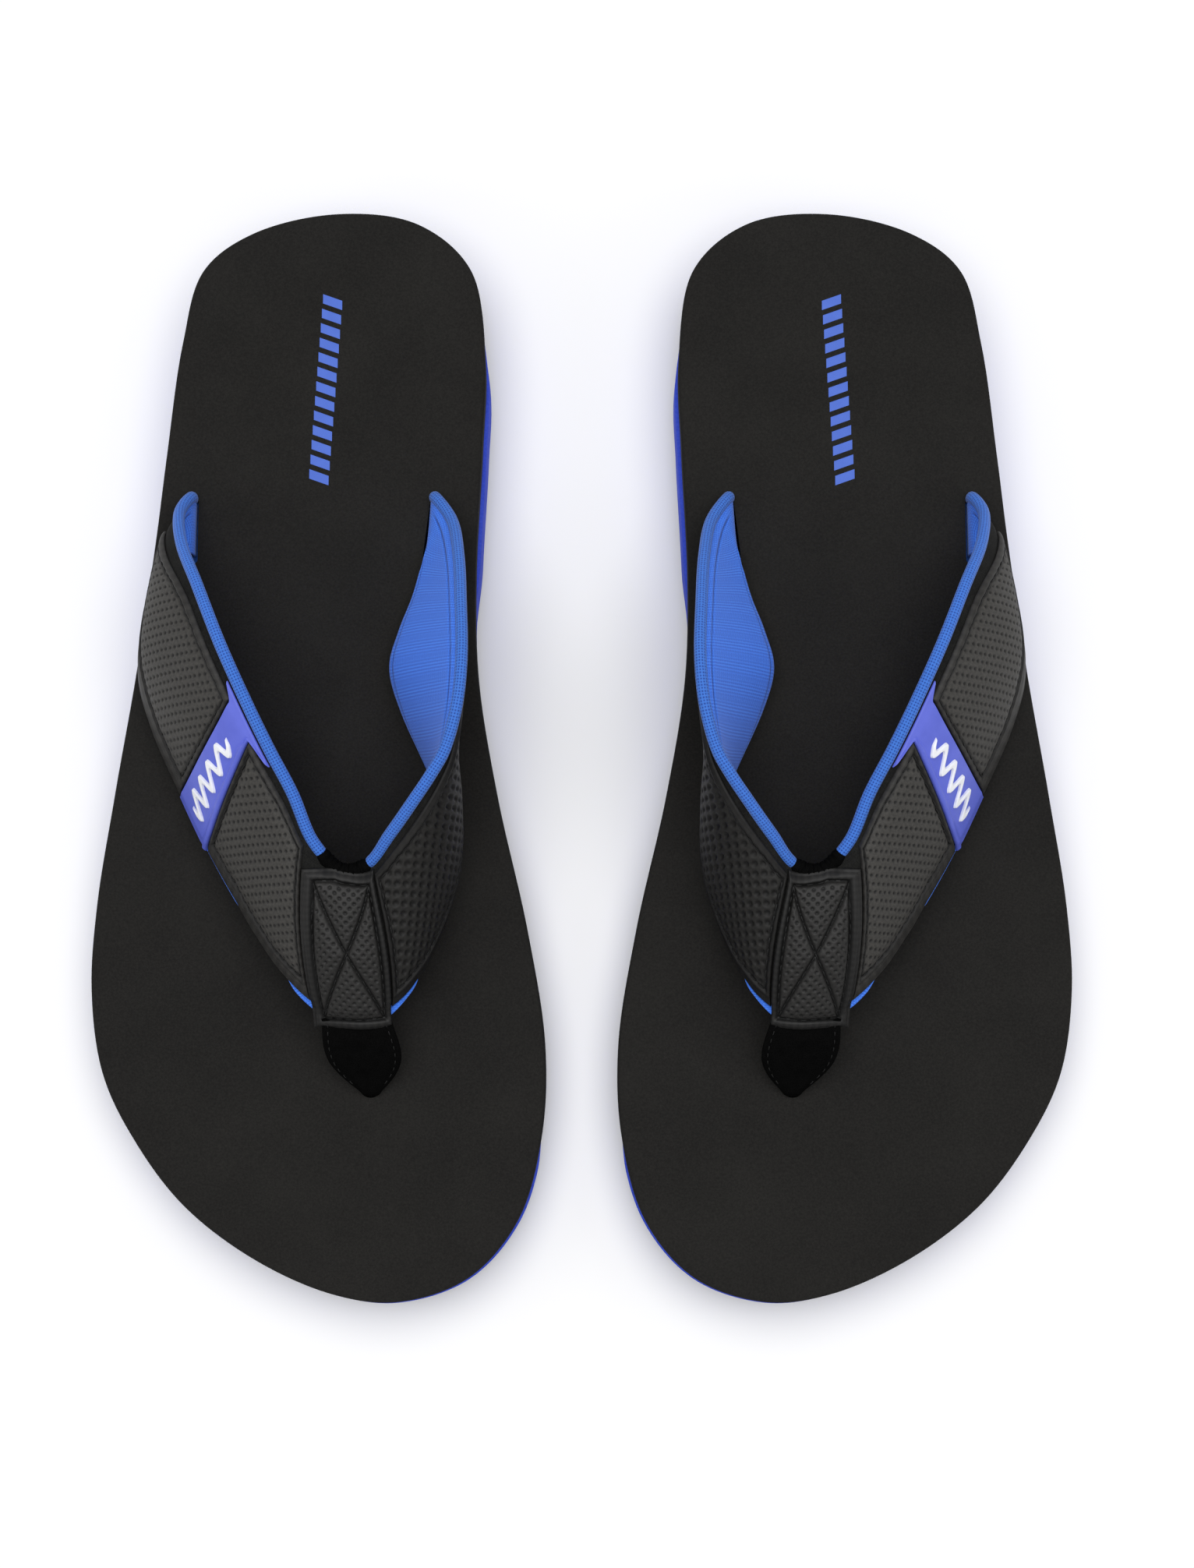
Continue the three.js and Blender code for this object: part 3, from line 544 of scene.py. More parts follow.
# %% Ribs
RIBS = np.array([
    (100.4, 65.6, -4.0, 100.4, 50.4, -4.0),
    (100.4, 66.0, 2.6, 101.2, 50.0, 3.4), (102.2, 60.0, 9.5, 105.6, 46.0, 4.4),
    (99.9, 50.0, 18.7, 109.6, 35.0, 3.0), (94.5, 38.0, 28.0, 112.3, 20.5, 2.1),
    (88.0, 22.5, 33.4, 108.9, 6.6, 2.3), (81.5, 8.3, 34.0, 101.6, -9.7, 3.3),
    (76.0, -3.0, 33.0, 93.0, -27.0, 6.2), (70.5, -13.5, 31.2, 82.0, -45.0, 9.4),
    (66.0, -24.5, 28.6, 69.5, -61.5, 12.4), (59.5, -31.0, 26.8, 56.5, -68.5, 14.4),
    (52.0, -30.0, 27.7, 45.5, -63.5, 13.2), (46.5, -23.5, 32.6, 37.5, -49.0, 9.8),
    (41.0, -16.5, 36.8, 32.5, -31.0, 6.2), (36.0, -9.5, 39.0, 33.9, -15.0, 4.0),
    (32.5, -3.0, 39.5, 39.4, -3.0, 3.5), (29.8, 7.4, 40.0, 46.0, 11.0, 4.0),
    (28.9, 19.3, 37.2, 49.0, 21.5, 4.2), (29.5, 33.0, 29.8, 46.8, 30.6, 3.6),
    (30.6, 46.7, 19.6, 43.7, 38.5, 3.0), (32.8, 58.0, 9.6, 41.6, 45.0, 3.0),
    (37.6, 66.0, 2.6, 39.6, 50.0, 2.8),
    (38.0, 65.6, -4.0, 39.2, 50.4, -4.0),
])
CENTRE_RIB = 9
LAST_RIB = len(RIBS) - 3
CROWN = 1.6


def rib_ends(first):
    """One end of every rib, its height counted from the footbed under it."""
    ends = RIBS[:, first:first + 3].copy()
    ends[:, 2] += footbed_top(ends[:, 1])
    return ends


REAR, FRONT = rib_ends(0), rib_ends(3)
print("strap of", len(RIBS), "ribs, with rib", CENTRE_RIB, "at the middle")


# %% The ribbon through the ribs
def through(points, place):
    """A smooth curve through every row of a table, read at a place counted in rows: Catmull-Rom."""
    last = len(points) - 1
    i = np.clip(np.floor(place), 0, last - 1).astype(int)
    t = (place - i)[..., None]
    a, b = points[i], points[i + 1]
    slope_a = (b - points[np.maximum(i - 1, 0)]) / 2
    slope_b = (points[np.minimum(i + 2, last)] - a) / 2
    ease = 3 * t**2 - 2 * t**3
    return a + (b - a) * ease + slope_a * (t**3 - 2 * t**2 + t) + slope_b * (t**3 - t**2)


def rear_line(u):
    """The strap's rear edge. Rib 0 is the first one above the sole, so the table starts at rib -1."""
    return through(REAR, np.asarray(u, float) + 1)


def front_line(u):
    """The strap's front edge."""
    return through(FRONT, np.asarray(u, float) + 1)


def strap_width(u):
    """From edge to edge, in millimetres."""
    return np.linalg.norm(front_line(u) - rear_line(u), axis=-1)


def ruled(u, v):
    """The point at rib u and share v on the straight line from the rear edge to the front edge."""
    return rear_line(u) + (front_line(u) - rear_line(u)) * v[..., None]


def surface_normal(u, v):
    """Outwards: the way along the ribbon crossed with the way to the front edge."""
    step = 0.02
    out = np.cross(ruled(u + step, v) - ruled(u - step, v), front_line(u) - rear_line(u))
    return out / np.linalg.norm(out, axis=-1, keepdims=True)


def fullness(u):
    """How full the strap is: 0 in the slots, 0.3 beside them and 1 from four ribs on."""
    from_slot = np.minimum(u, LAST_RIB - u)
    return (0.3 + 0.7 * smooth(from_slot / 4)) * smooth((from_slot + 0.6) / 0.9)


def bow(u, v):
    """The strap's crown between its edges, as a share: a half sine."""
    return fullness(u) * np.sin(np.pi * np.clip(v, 0, 1))


def on_strap(u, v, n):
    """The point at rib u and share v from rear to front, n millimetres outside the crowned ribbon."""
    return ruled(u, v) + surface_normal(u, v) * (n + CROWN * bow(u, v))[..., None]


print("strap width at the middle", round(float(strap_width(np.float64(CENTRE_RIB))), 1), "mm")

# %% Plies: thicknesses and levels
PLY = {"lining": 0.8, "upper": 0.7, "panel": 0.8, "badge": 0.75, "patch": 1.1}
TOUCH = 0.06 # between two plies that lie on each other


def half_padding(u, v):
    """Half the foam's thickness: fullest in the middle, nothing at either edge and in the slots."""
    wide = strap_width(u)
    pinch = smooth((v * wide - 1.0) / 3.0) * smooth((1 - v) * wide / 4.0)
    in_slot = smooth(np.minimum(u, LAST_RIB - u) / 1.2)
    return 0.5 * (1.0 + 2.2 * bow(u, v)) * pinch * in_slot


def lining_top(u, v):
    """Inside of the foam."""
    return -half_padding(u, v) - TOUCH


def upper_bottom(u, v):
    """Outside of the foam."""
    return half_padding(u, v) + TOUCH


def trim_bottom(u, v):
    """Outside of the black upper, where panels, badge and patch are sewn on."""
    return upper_bottom(u, v) + PLY["upper"] + TOUCH


print("plies:", PLY)


# %% Stretches of the strap
def stretch(start, end, rear, front):
    """A stretch of the strap: spot(a, b) turns shares along and across into u and v, and long and wide
    measure it in millimetres at such a place."""
    def spot(a, b):
        rough = start(b) + (end(b) - start(b)) * a
        v = rear(rough) + (front(rough) - rear(rough)) * b
        return start(v) + (end(v) - start(v)) * a, v

    along, across = np.linspace(0, 1, 41), np.linspace(0, 1, 9)
    a, b = np.meshgrid(along, across, indexing="ij")
    points = on_strap(*spot(a, b), np.zeros_like(a))
    lengths = np.linalg.norm(np.diff(points, axis=0), axis=2).sum(axis=0)
    widths = np.linalg.norm(np.diff(points, axis=1), axis=2).sum(axis=1)
    return {"spot": spot, "long": lambda b: np.interp(b, across, lengths),
            "wide": lambda a: np.interp(a, along, widths)}


def at_rib(value):
    """A straight end of a stretch, at one rib."""
    return lambda v: np.full_like(np.asarray(v, float), value)


def from_rear(mm):
    """A line along the strap some millimetres from its rear edge, as a share of the width."""
    return lambda u: mm / strap_width(u)


def from_front(mm):
    """A line along the strap some millimetres from its front edge."""
    return lambda u: 1 - mm / strap_width(u)


ARM_GAP = 0.02
IN_SLOT = 0.75 # how far, in ribs, an arm's plies go down into its slot
ARMS = {"lateral": (-IN_SLOT, CENTRE_RIB - ARM_GAP), "medial": (CENTRE_RIB + ARM_GAP, LAST_RIB + IN_SLOT)}
print("arms between ribs", ARMS)


# %% A ply with its own relief
def rim_steps(length, rim, pitch):
    """Places from 0 to length, a pitch apart, closer together over the rim at either end."""
    curl = rim * (1 - np.cos(np.linspace(0, np.pi / 2, 5)))
    count = max(2, int(round((length - 2 * rim) / pitch)) + 1)
    middle = np.linspace(rim, length - rim, count)
    return np.concatenate([curl[:-1], middle, length - curl[-2::-1]])


def run_along(points, axis, picked=(0, 1, 2)):
    """Distance covered by a grid of points along one axis, from its middle, in the picked directions."""
    steps = np.linalg.norm(np.diff(points[..., picked], axis=axis), axis=2).cumsum(axis=axis)
    steps = np.insert(steps, 0, 0.0, axis=axis)
    return steps - np.take(steps, [steps.shape[axis] // 2], axis=axis)


def straight_grain(cloth, turn):
    """Flat coordinates for a cloth whose rows run straight across the shoe: q follows y, stretched by the
    cloth's own slope, and p is the middle line's x plus the distance run across in x and half of z. turn is
    1 on the outer arm, whose front edge lies outwards, and -1 on the inner arm."""
    middle = cloth[:, cloth.shape[1] // 2]
    half_way = middle[len(middle) // 2, 1]
    slope = np.abs(run_along(middle[:, None], 0, (1, 2))[-1, 0]) / np.abs(middle[-1, 1] - half_way)
    return middle[:, None, 0] + turn * run_along(cloth * (1, 1, 0.5), 1, (0, 2)), cloth[..., 1] * slope


def ply_shape(area, bottom, thickness, pitch, rim=0.3, relief=None, under=None, straight=False):
    """A thin body over a stretch of the strap with a round rim. relief(p, q, edges) adds to its outside
    and under(p, q, edges) to its inside, and both return a mark too. p and q are millimetres on the flat
    cloth, and edges the distances from start, end, rear and front."""
    sizes = area["long"](0.5), area["wide"](np.linspace(0, 1, 9)).max()
    steps = [rim_steps(size, rim, pitch) / size for size in sizes]
    a, b = np.meshgrid(*steps, indexing="ij")
    u, v = area["spot"](a, b)
    low = bottom(u, v)
    middle, half = low + thickness / 2, thickness / 2
    edges = (a * area["long"](b), (1 - a) * area["long"](b), b * area["wide"](a), (1 - b) * area["wide"](a))
    nearest = np.minimum.reduce(edges)
    close = np.sqrt(1 - (1 - np.clip(nearest / rim, 0, 1)) ** 2)
    cloth = on_strap(u, v, low + thickness)
    outer = 1 if u.mean() < CENTRE_RIB else -1
    p, q = straight_grain(cloth, outer) if straight else (run_along(cloth, 0), run_along(cloth, 1))
    plain = (np.zeros_like(u), np.zeros_like(u))
    # The outside mark is painted shade where a relief gives one, and the inside mark is the lining's dark hem
    # line.
    lift, pit = relief(p, q, edges) if relief else plain
    sink, inner_pit = under(p, q, edges) if under else plain
    top = on_strap(u, v, middle + (half + lift) * close)
    inside = on_strap(u, v, middle - (half + sink) * close)
    return two_sided(top, inside, np.stack([p, q], axis=-1), pit=(pit, inner_pit))


# %% [markdown]
# ## Knit lining and binding
# The lining is a tight polyester knit over the foam, turned over the strap's rear edge as a round
# binding and hemmed again on the inside. It is bright blue and soft: fine ribs run across the arm, and
# small dark dots show between the stitches. The knit is drawn on each piece's own flat coordinates, a
# little coarser than it is, because the real stitches would be too fine to show.

# %% Material: blue knit
SEAM_BLUE = "#142660"


def knit_material(name, dark, light, rib_mm, dot_mm, rib_depth):
    """Ribs one way and rows of dots: both are made from the flat coordinates in millimetres."""
    made = new_material(name)
    flat = add(made, "ShaderNodeTexCoord", output="UV")
    wave = add(made, "ShaderNodeTexWave", {"Vector": flat, "Scale": math.pi / 10 / rib_mm, "Distortion": 0.6,
                                           "Detail": 1.0, "Detail Scale": 2.0}, output="Fac",
               wave_type="BANDS", bands_direction="X")
    ribs = add(made, "ShaderNodeMapRange", {"Value": wave, "To Min": 1 - rib_depth})
    cells = add(made, "ShaderNodeTexVoronoi", {"Vector": flat, "Scale": 1 / dot_mm, "Randomness": 0.12},
                output="Distance")
    dots = add(made, "ShaderNodeMapRange", {"Value": cells, "From Min": 0.16, "From Max": 0.42})
    height = add(made, "ShaderNodeMath", {0: ribs, 1: dots}, operation="MULTIPLY")
    share = add(made, "ShaderNodeMapRange", {"Value": height, "To Min": 0.15, "To Max": 0.95})
    colour = add(made, "ShaderNodeMix", {"Factor": share, "A": linear(dark), "B": linear(light)},
                 output="Result", data_type="RGBA")
    # The mark here is the dark blue line along the lining's sewn hems.
    pit = add(made, "ShaderNodeAttribute", attribute_name="pit", output="Fac")
    sewn = add(made, "ShaderNodeMix", {"Factor": pit, "A": colour, "B": linear(SEAM_BLUE)},
               output="Result", data_type="RGBA")
    bump = add(made, "ShaderNodeBump", {"Height": height, "Strength": 0.5, "Distance": 0.12 * MM})
    return finish_with(made, {"Base Color": sewn, "Roughness": 0.8, "Normal": bump,
                              "Specular IOR Level": 0.25, "Sheen Weight": 0.15, "Sheen Roughness": 0.5})


# The lining's face: soft and bright, with ribs every 0.87 mm.
blue_knit = knit_material("polyester_knit_blue", "#2c5ace", "#4c8eff", 0.87, 0.75, 0.6)
# The binding's knit is stretched over its edge, so its ribs are flatter and its dots are darker.
blue_mesh = knit_material("polyester_mesh_knit_blue", "#193382", "#4179d6", 1.5, 0.75, 0.15)
print("knits:", blue_knit.name, blue_mesh.name)


# %% Linings
def groove(distance, depth=0.3, half=0.4):
    """A narrow sewn channel: minus the depth times a bell curve of the distance from its line."""
    return -depth * np.exp(-(distance / half) ** 2)


HEM_REAR = 3.1
HEM_FRONT = 2.4
HEM_START = 9 # the hems fade in this far from the slots
LINING_ROLL = 1.25 # how far the lining's rim is rolled out where it shows
PLY_REAR = 0.9 # from the strap's rear edge to its plies, which the binding covers


def lining_hems(p, q, edges):
    """The two sewn lines on the lining's inner face."""
    near = np.minimum(np.abs(edges[2] - HEM_REAR), np.abs(edges[3] - HEM_FRONT))
    shown = smooth((np.minimum(edges[0], edges[1]) - HEM_START) / 5)
    return groove(near, 0.3) * shown, 0.75 * np.exp(-((near / 0.3) ** 2)) * shown


def lining_shows(u):
    """1 on both sides of the patch and 0.9 in front of the badge, where the lining's rim is rolled out."""
    at_badge = 0.9 * smooth((u - 5.6) / 0.2) * smooth((7.0 - u) / 0.4)
    return at_badge + smooth((u - 7.4) / 0.5) * smooth((10.8 - u) / 0.5)


def lining_front(u):
    """The lining reaches past the front edge where it shows, most beside the patch, and elsewhere stops
    1.2 mm short of it."""
    wide = 0.6 * smooth((u - 7.6) / 0.6) * smooth((10.2 - u) / 0.5)
    return 1 - (1.2 - (1.4 + wide) * lining_shows(u)) / strap_width(u)


def lining_bottom(u, v):
    """The lining's inside, which comes up over the last 2 mm to the level of the upper where it shows."""
    margin = (1 - v) * strap_width(u)
    return lining_top(u, v) - PLY["lining"] + LINING_ROLL * lining_shows(u) * smooth((2.0 - margin) / 1.6)


linings = {}
for arm, (start, end) in ARMS.items():
    area = stretch(at_rib(start), at_rib(end), from_rear(PLY_REAR), lining_front)
    shape = ply_shape(area, lining_bottom, PLY["lining"], 0.6, under=lining_hems)
    linings[arm] = (pair_of(arm + "_knit_lining", mesh_of(arm + "_knit_lining", shape), blue_knit), area)

# %% Bindings
def tube(centre, side, up, half_side, half_up, around=24, power=2.0):
    """A tube along a path: each ring is a superellipse, |x/a|^power + |y/b|^power = 1, with its arc
    length as the second flat coordinate."""
    angle = 2 * np.pi * np.arange(around + 1) / around
    x, y = (np.sign(wave) * np.abs(wave) ** (2 / power) for wave in (np.cos(angle), np.sin(angle)))
    sideways = side[:, None] * (x[:, None] * half_side[:, None, None])
    points = centre[:, None] + (sideways + up[:, None] * (y[:, None] * half_up[:, None, None]))
    along = np.concatenate([[0], np.linalg.norm(np.diff(centre, axis=0), axis=1).cumsum()])
    widest = np.diff([x * half_side.max(), y * half_up.max()], axis=1)
    girth = np.concatenate([[0], np.hypot(*widest).cumsum()])
    return wrapped(points[:, :-1], along, girth)


def rear_tube(start, end, radius, pitch=0.6, sag=None):
    """A round edge along the strap's rear line that closes at both ends over its own radius."""
    fine = np.linspace(start, end, 400)
    run = np.concatenate([[0], np.linalg.norm(np.diff(rear_line(fine), axis=0), axis=1).cumsum()])
    places = rim_steps(run[-1], radius, pitch)
    u = np.interp(places, run, fine)
    ahead = front_line(u) - rear_line(u)
    ahead /= np.linalg.norm(ahead, axis=1)[:, None]
    along = np.gradient(rear_line(u), axis=0)
    along /= np.linalg.norm(along, axis=1)[:, None]
    out = np.cross(along, ahead)
    out /= np.linalg.norm(out, axis=1)[:, None]
    ahead = np.cross(out, along)
    inner = np.clip(np.minimum(places, run[-1] - places) / radius, 0, 1)
    close = np.sqrt(1 - (1 - inner) ** 2) * 0.94 + 0.06
    slim = 1 - 0.25 * smooth(-(np.minimum(u, LAST_RIB - u)) / 0.7)
    half = radius * close * slim
    centre = rear_line(u)
    if sag is not None:
        centre = centre + sag(u)
    return tube(centre, ahead, out, half, half * 0.96)


BINDING_RADIUS = 1.55
ROLL_ENDS = (8.28, 10.1)
BINDING_ENDS = {"lateral": (-0.6, ROLL_ENDS[0] + 0.2), "medial": (ROLL_ENDS[1] - 0.2, LAST_RIB + 0.6)}
bindings = {}
for arm, (start, end) in BINDING_ENDS.items():
    shape = rear_tube(start, end, BINDING_RADIUS)
    bindings[arm] = pair_of(arm + "_rolled_binding", mesh_of(arm + "_rolled_binding", shape), blue_mesh)

# %% [markdown]
# ## Foam core and black upper
# Between lining and upper lies a thin foam core, fullest along the middle of each arm. It doesn't show,
# but it gives the arm its crown. The upper is a black woven synthetic that shows as a narrow strip
# between the binding and the panels.

# %% Materials: foam core and woven upper
# Cream open-cell foam, quite matt. It is seen only where the arm is cut open.
core_foam = foam_material("open_cell_foam_cream", "#cfc8b4", "#e0dac8", 0.8, 0.2)


def woven_material(name, dark, light, thread_mm, gloss):
    """Fine threads both ways, on the flat coordinates, with a slow drift of tone."""
    made = new_material(name)
    flat = add(made, "ShaderNodeTexCoord", output="UV")
    cells = add(made, "ShaderNodeTexVoronoi", {"Vector": flat, "Scale": 1 / thread_mm, "Randomness": 0.5},
                output="Distance")
    drift = add(made, "ShaderNodeTexNoise", {"Vector": flat, "Scale": 0.35, "Detail": 4.0})
    mixed = add(made, "ShaderNodeMath", {0: cells, 1: drift}, operation="MULTIPLY")
    share = add(made, "ShaderNodeMapRange", {"Value": mixed, "From Min": 0.05, "From Max": 0.4})
    colour = add(made, "ShaderNodeMix", {"Factor": share, "A": linear(dark), "B": linear(light)},
                 output="Result", data_type="RGBA")
    bump = add(made, "ShaderNodeBump", {"Height": cells, "Strength": 0.4, "Distance": 0.1 * MM})
    return finish_with(made, {"Base Color": colour, "Roughness": 0.85, "Normal": bump,
                              "Specular IOR Level": gloss})


# A plain weave of black threads, half a millimetre apart: dark and dull.
black_woven = woven_material("woven_polyester_black", "#0c0c0c", "#1d1d1c", 0.5, 0.15)
print("inside the strap:", core_foam.name, black_woven.name)

# %% Cores and uppers
CORE_END = 0.5 # how far, in ribs, the foam stays clear of a slot


def upper_front(u):
    """The upper reaches nearly to the front edge, and a little less where the lining shows."""
    return 1 - (0.4 + 0.9 * lining_shows(u)) / strap_width(u)


cores, uppers = {}, {}
for arm, (start, end) in ARMS.items():
    core_start, core_end = max(start, CORE_END), min(end, LAST_RIB - CORE_END)
    area = stretch(at_rib(core_start), at_rib(core_end), from_rear(2.2), from_front(1.2))
    u_steps = rim_steps(area["long"](0.5), 0.3, 1.2) / area["long"](0.5)
    v_steps = rim_steps(20.0, 0.3, 1.0) / 20.0
    a, b = np.meshgrid(u_steps, v_steps, indexing="ij")
    u, v = area["spot"](a, b)
    edge = np.minimum.reduce([a, 1 - a, b, 1 - b])
    half = half_padding(u, v) * (edge > 0)
    shape = two_sided(on_strap(u, v, half), on_strap(u, v, -half), np.stack([a, b], axis=-1))
    cores[arm] = pair_of(arm + "_foam_core", mesh_of(arm + "_foam_core", shape), core_foam)
    area = stretch(at_rib(start), at_rib(end), from_rear(PLY_REAR), upper_front)
    shape = ply_shape(area, upper_bottom, PLY["upper"], 0.8)
    uppers[arm] = pair_of(arm + "_woven_upper", mesh_of(arm + "_woven_upper", shape), black_woven)

# %% [markdown]
# ## Perforated panels
# The panels are a soft synthetic leather, with fine punched dots on the outer arm and a coarse waffle on
# the inner one. Their edge is turned under, which leaves a round lip, and a line of stitches pulls a
# narrow channel just inside it. The lip, the channel and every dot are real shape: the grid is fine
# enough to dent. The same numbers paint shade into the pits, the channels and the lips. The outer arm's
# leather is painted lighter and the inner arm's darker, as painted light and painted shade.

# %% Material: perforated synthetic leather
def leather_material(name, dark, light, pit_colour, roughness, gloss):
    """Grain noise on the flat coordinates, with painted shade from the mark that the shape leaves in its
    pits, channels and lips.
    """
    made = new_material(name)
    flat = add(made, "ShaderNodeTexCoord", output="UV")
    grain = add(made, "ShaderNodeTexNoise", {"Vector": flat, "Scale": 1.6, "Detail": 5.0, "Roughness": 0.6})
    share = add(made, "ShaderNodeMapRange", {"Value": grain, "From Min": 0.35, "From Max": 0.68})
    colour = add(made, "ShaderNodeMix", {"Factor": share, "A": linear(dark), "B": linear(light)},
                 output="Result", data_type="RGBA")
    # Painted shade: the mark darkens the grain towards the shade colour in the pits, channels and lips.
    pit = add(made, "ShaderNodeAttribute", attribute_name="pit", output="Fac")
    with_painted_shade = add(made, "ShaderNodeMix", {"Factor": pit, "A": colour, "B": linear(pit_colour)},
                output="Result", data_type="RGBA")
    bump = add(made, "ShaderNodeBump", {"Height": grain, "Strength": 0.3, "Distance": 0.1 * MM})
    return finish_with(made, {"Base Color": with_painted_shade, "Roughness": roughness, "Normal": bump,
                              "Specular IOR Level": gloss})


# Coated cloth with a fine grain, almost matt, on the outer arm. Its dark grey is painted light: lighter than
# the cloth itself, for the light that falls on that arm.
painted_lit_leather = leather_material("perforated_pu_leather_painted_lit", "#2e2d2b", "#403e3b", "#0d0c0c", 0.6, 0.35)
# The same cloth in near-black, a little glossier, on the patch.
dark_leather = leather_material("perforated_pu_leather_dark", "#191817", "#262524", "#060606", 0.55, 0.35)
# The same cloth, embossed, on the inner arm, with painted shade: its colour is darker than the cloth itself,
# for the shade that arm lies in.
painted_shade_leather = leather_material("embossed_pu_leather_painted_shade", "#161514", "#201f1d", "#070606", 0.6, 0.3)
print("leathers:", painted_lit_leather.name, dark_leather.name, painted_shade_leather.name)

# %% Where the panels, the badge and the patch end
BADGE_START, BADGE_END = (4.76, 5.04), (5.52, 5.86) # ribs at the rear and at the front edge
END_SAG = 0.14
PATCH_OUTER, PATCH_INNER = 11.4, 9.2


def slanted(ends, gap=0.0):
    """The rib at which a slanted end lies: a parabola from the rear edge to the front edge, which looks
    straight from above because the strap is crowned."""
    def line(v):
        v = np.asarray(v, float)
        return ends[0] + (ends[1] - ends[0]) * v + 4 * END_SAG * v * (1 - v) + gap
    return line


def patch_side(side, gap):
    """The rib at which the patch's side lies, its own width and a gap from the centre rib."""
    width = (PATCH_OUTER if side < 0 else PATCH_INNER) + gap

    def line(v):
        v = np.asarray(v, float)
        here, there = (ruled(at_rib(rib)(v), v) for rib in (CENTRE_RIB, CENTRE_RIB + side))
        step = np.linalg.norm(here - there, axis=-1)
        return CENTRE_RIB + side * width / step
    return line


def rear_panel_tip(v):
    """The rear panel's end beside the slot leans back: from rib 1.4 at the rear edge to 0.2 at the front."""
    return 1.4 - 1.2 * np.asarray(v, float)


def panel_front(u):
    """The panels reach nearly to the front edge, and a little less where the lining shows."""
    return 1 - (0.4 + 1.0 * lining_shows(u)) / strap_width(u)


def panel_rear(u):
    """The panels' rear edge runs beside the binding and leaves it towards the outer slot."""
    return (2.9 + 3.2 * smooth((3.4 - u) / 2.4)) / strap_width(u)


print("the patch is", PATCH_OUTER + PATCH_INNER, "mm wide")


# %% Sewn and punched relief
def dots(p, q, pitch, row, radius, staggered=True):
    """1 in the middle of each dot and 0 outside, on rows a distance apart, with a soft rim."""
    k = np.round(q / row)
    dx = p - (k % 2) * pitch / 2 * staggered
    dx = dx - pitch * np.round(dx / pitch)
    return smooth(1.5 - 1.5 * np.hypot(dx, q - k * row) / radius)


def from_seam(edges, sewn):
    """Distance inwards from the nearest sewn line, and the distance along that line."""
    each = np.stack([edge - line for edge, line in zip(edges, sewn)])
    run = np.where(np.argmin(each, axis=0) < 2, edges[2], edges[0])
    return each.min(axis=0), run


def panel_relief(sewn, pitch, row, radius, depth, staggered):
    """A round lip outside the sewn line, a channel pinched at every stitch, a soft swell inside, dots."""
    def relief(p, q, edges):
        seam, run = from_seam(edges, sewn)
        wobble = 0.12 * np.sin(2 * np.pi * run / 2.8) + 0.1 * np.sin(run * 0.9)
        line = np.exp(-((seam + wobble) / 0.46) ** 2)
        lip = 0.32 * np.sin(np.pi * np.clip((seam + 1.6) / 1.6, 0, 1)) ** 0.7
        hole = dots(p, q, pitch, row, radius, staggered) * smooth((seam - 0.5) / 0.4)
        swell = 0.35 * smooth(seam / 3.5)
        shade = 0.7 * smooth((0.2 - seam) / 0.4) * (0.8 + 0.2 * np.sin(run * 2.1))
        # The second value is painted shade: dark in the dots, in the sewn channel and along the lip.
        return lip + swell - 0.4 * line - depth * hole, np.clip(hole ** 0.8 + 1.3 * line + shade, 0, 1)
    return relief


print("relief of stitched channels and dots")

# %% Panels
# Insets of the sewn lines from a panel's start, end, rear and front.
SEWN_ALONG = {"lateral_rear": (1.5, 1.5, 1.7, 7.0), "lateral_front": (1.5, 1.5, 1.7, 5.8),
              "medial": (1.5, 1.5, 2.2, 3.8)}
# Dots: pitch, distance between rows, radius, depth, and whether rows are staggered.
DOTS = {"lateral": (1.5, 1.95, 0.58, 0.25, True), "medial": (2.1, 2.45, 1.0, 0.5, False)}
PANEL_PITCH = {"lateral": 0.27, "medial": 0.3}
PANEL_GAP = 0.3
PANEL_STOP = 0.75 # how far, in ribs, the inner panel stops short of its slot
PANELS = {
    "lateral_rear": ("lateral", rear_panel_tip, slanted(BADGE_START, -0.03)),
    "lateral_front": ("lateral", slanted(BADGE_END, 0.03), patch_side(-1, PANEL_GAP)),
    "medial": ("medial", patch_side(1, PANEL_GAP), at_rib(LAST_RIB - PANEL_STOP)),
}
panels, areas = {}, {}
for name, (arm, start, end) in PANELS.items():
    # The outer arm's leather carries painted light, and the inner arm's carries painted shade.
    leather = painted_lit_leather if arm == "lateral" else painted_shade_leather
    areas[name] = stretch(start, end, panel_rear, panel_front)
    relief = panel_relief(SEWN_ALONG[name], *DOTS[arm])
    shape = ply_shape(areas[name], trim_bottom, PLY["panel"], PANEL_PITCH[arm], relief=relief, straight=True)
    panels[name] = pair_of(name + "_perforated", mesh_of(name + "_perforated", shape, 60), leather)

# %% [markdown]
# ## Stitches
# Each stitch is a short thread that comes up, lies along the channel and goes down again. Hundreds of
# them are needed, so each is a small capsule of a few dozen faces, and all that lie on one piece are one
# mesh.

# %% Material: sewing thread
def thread_material(name, dark, light):
    """Twisted polyester thread: two close tones mixed by noise as fine as its twist."""
    made = new_material(name)
    place = add(made, "ShaderNodeTexCoord", output="Object")
    twist = add(made, "ShaderNodeTexNoise", {"Vector": place, "Scale": 1 / (0.4 * MM), "Detail": 1.0})
    tone = add(made, "ShaderNodeMix", {"Factor": twist, "A": linear(dark), "B": linear(light)},
               output="Result", data_type="RGBA")
    return finish_with(made, {"Base Color": tone, "Roughness": 0.6, "Specular IOR Level": 0.3})


# Black and satin, so that only a row of small glints shows where it is sewn.
black_thread = thread_material("polyester_thread_black", "#0a0a0a", "#111111")
print("thread:", black_thread.name)


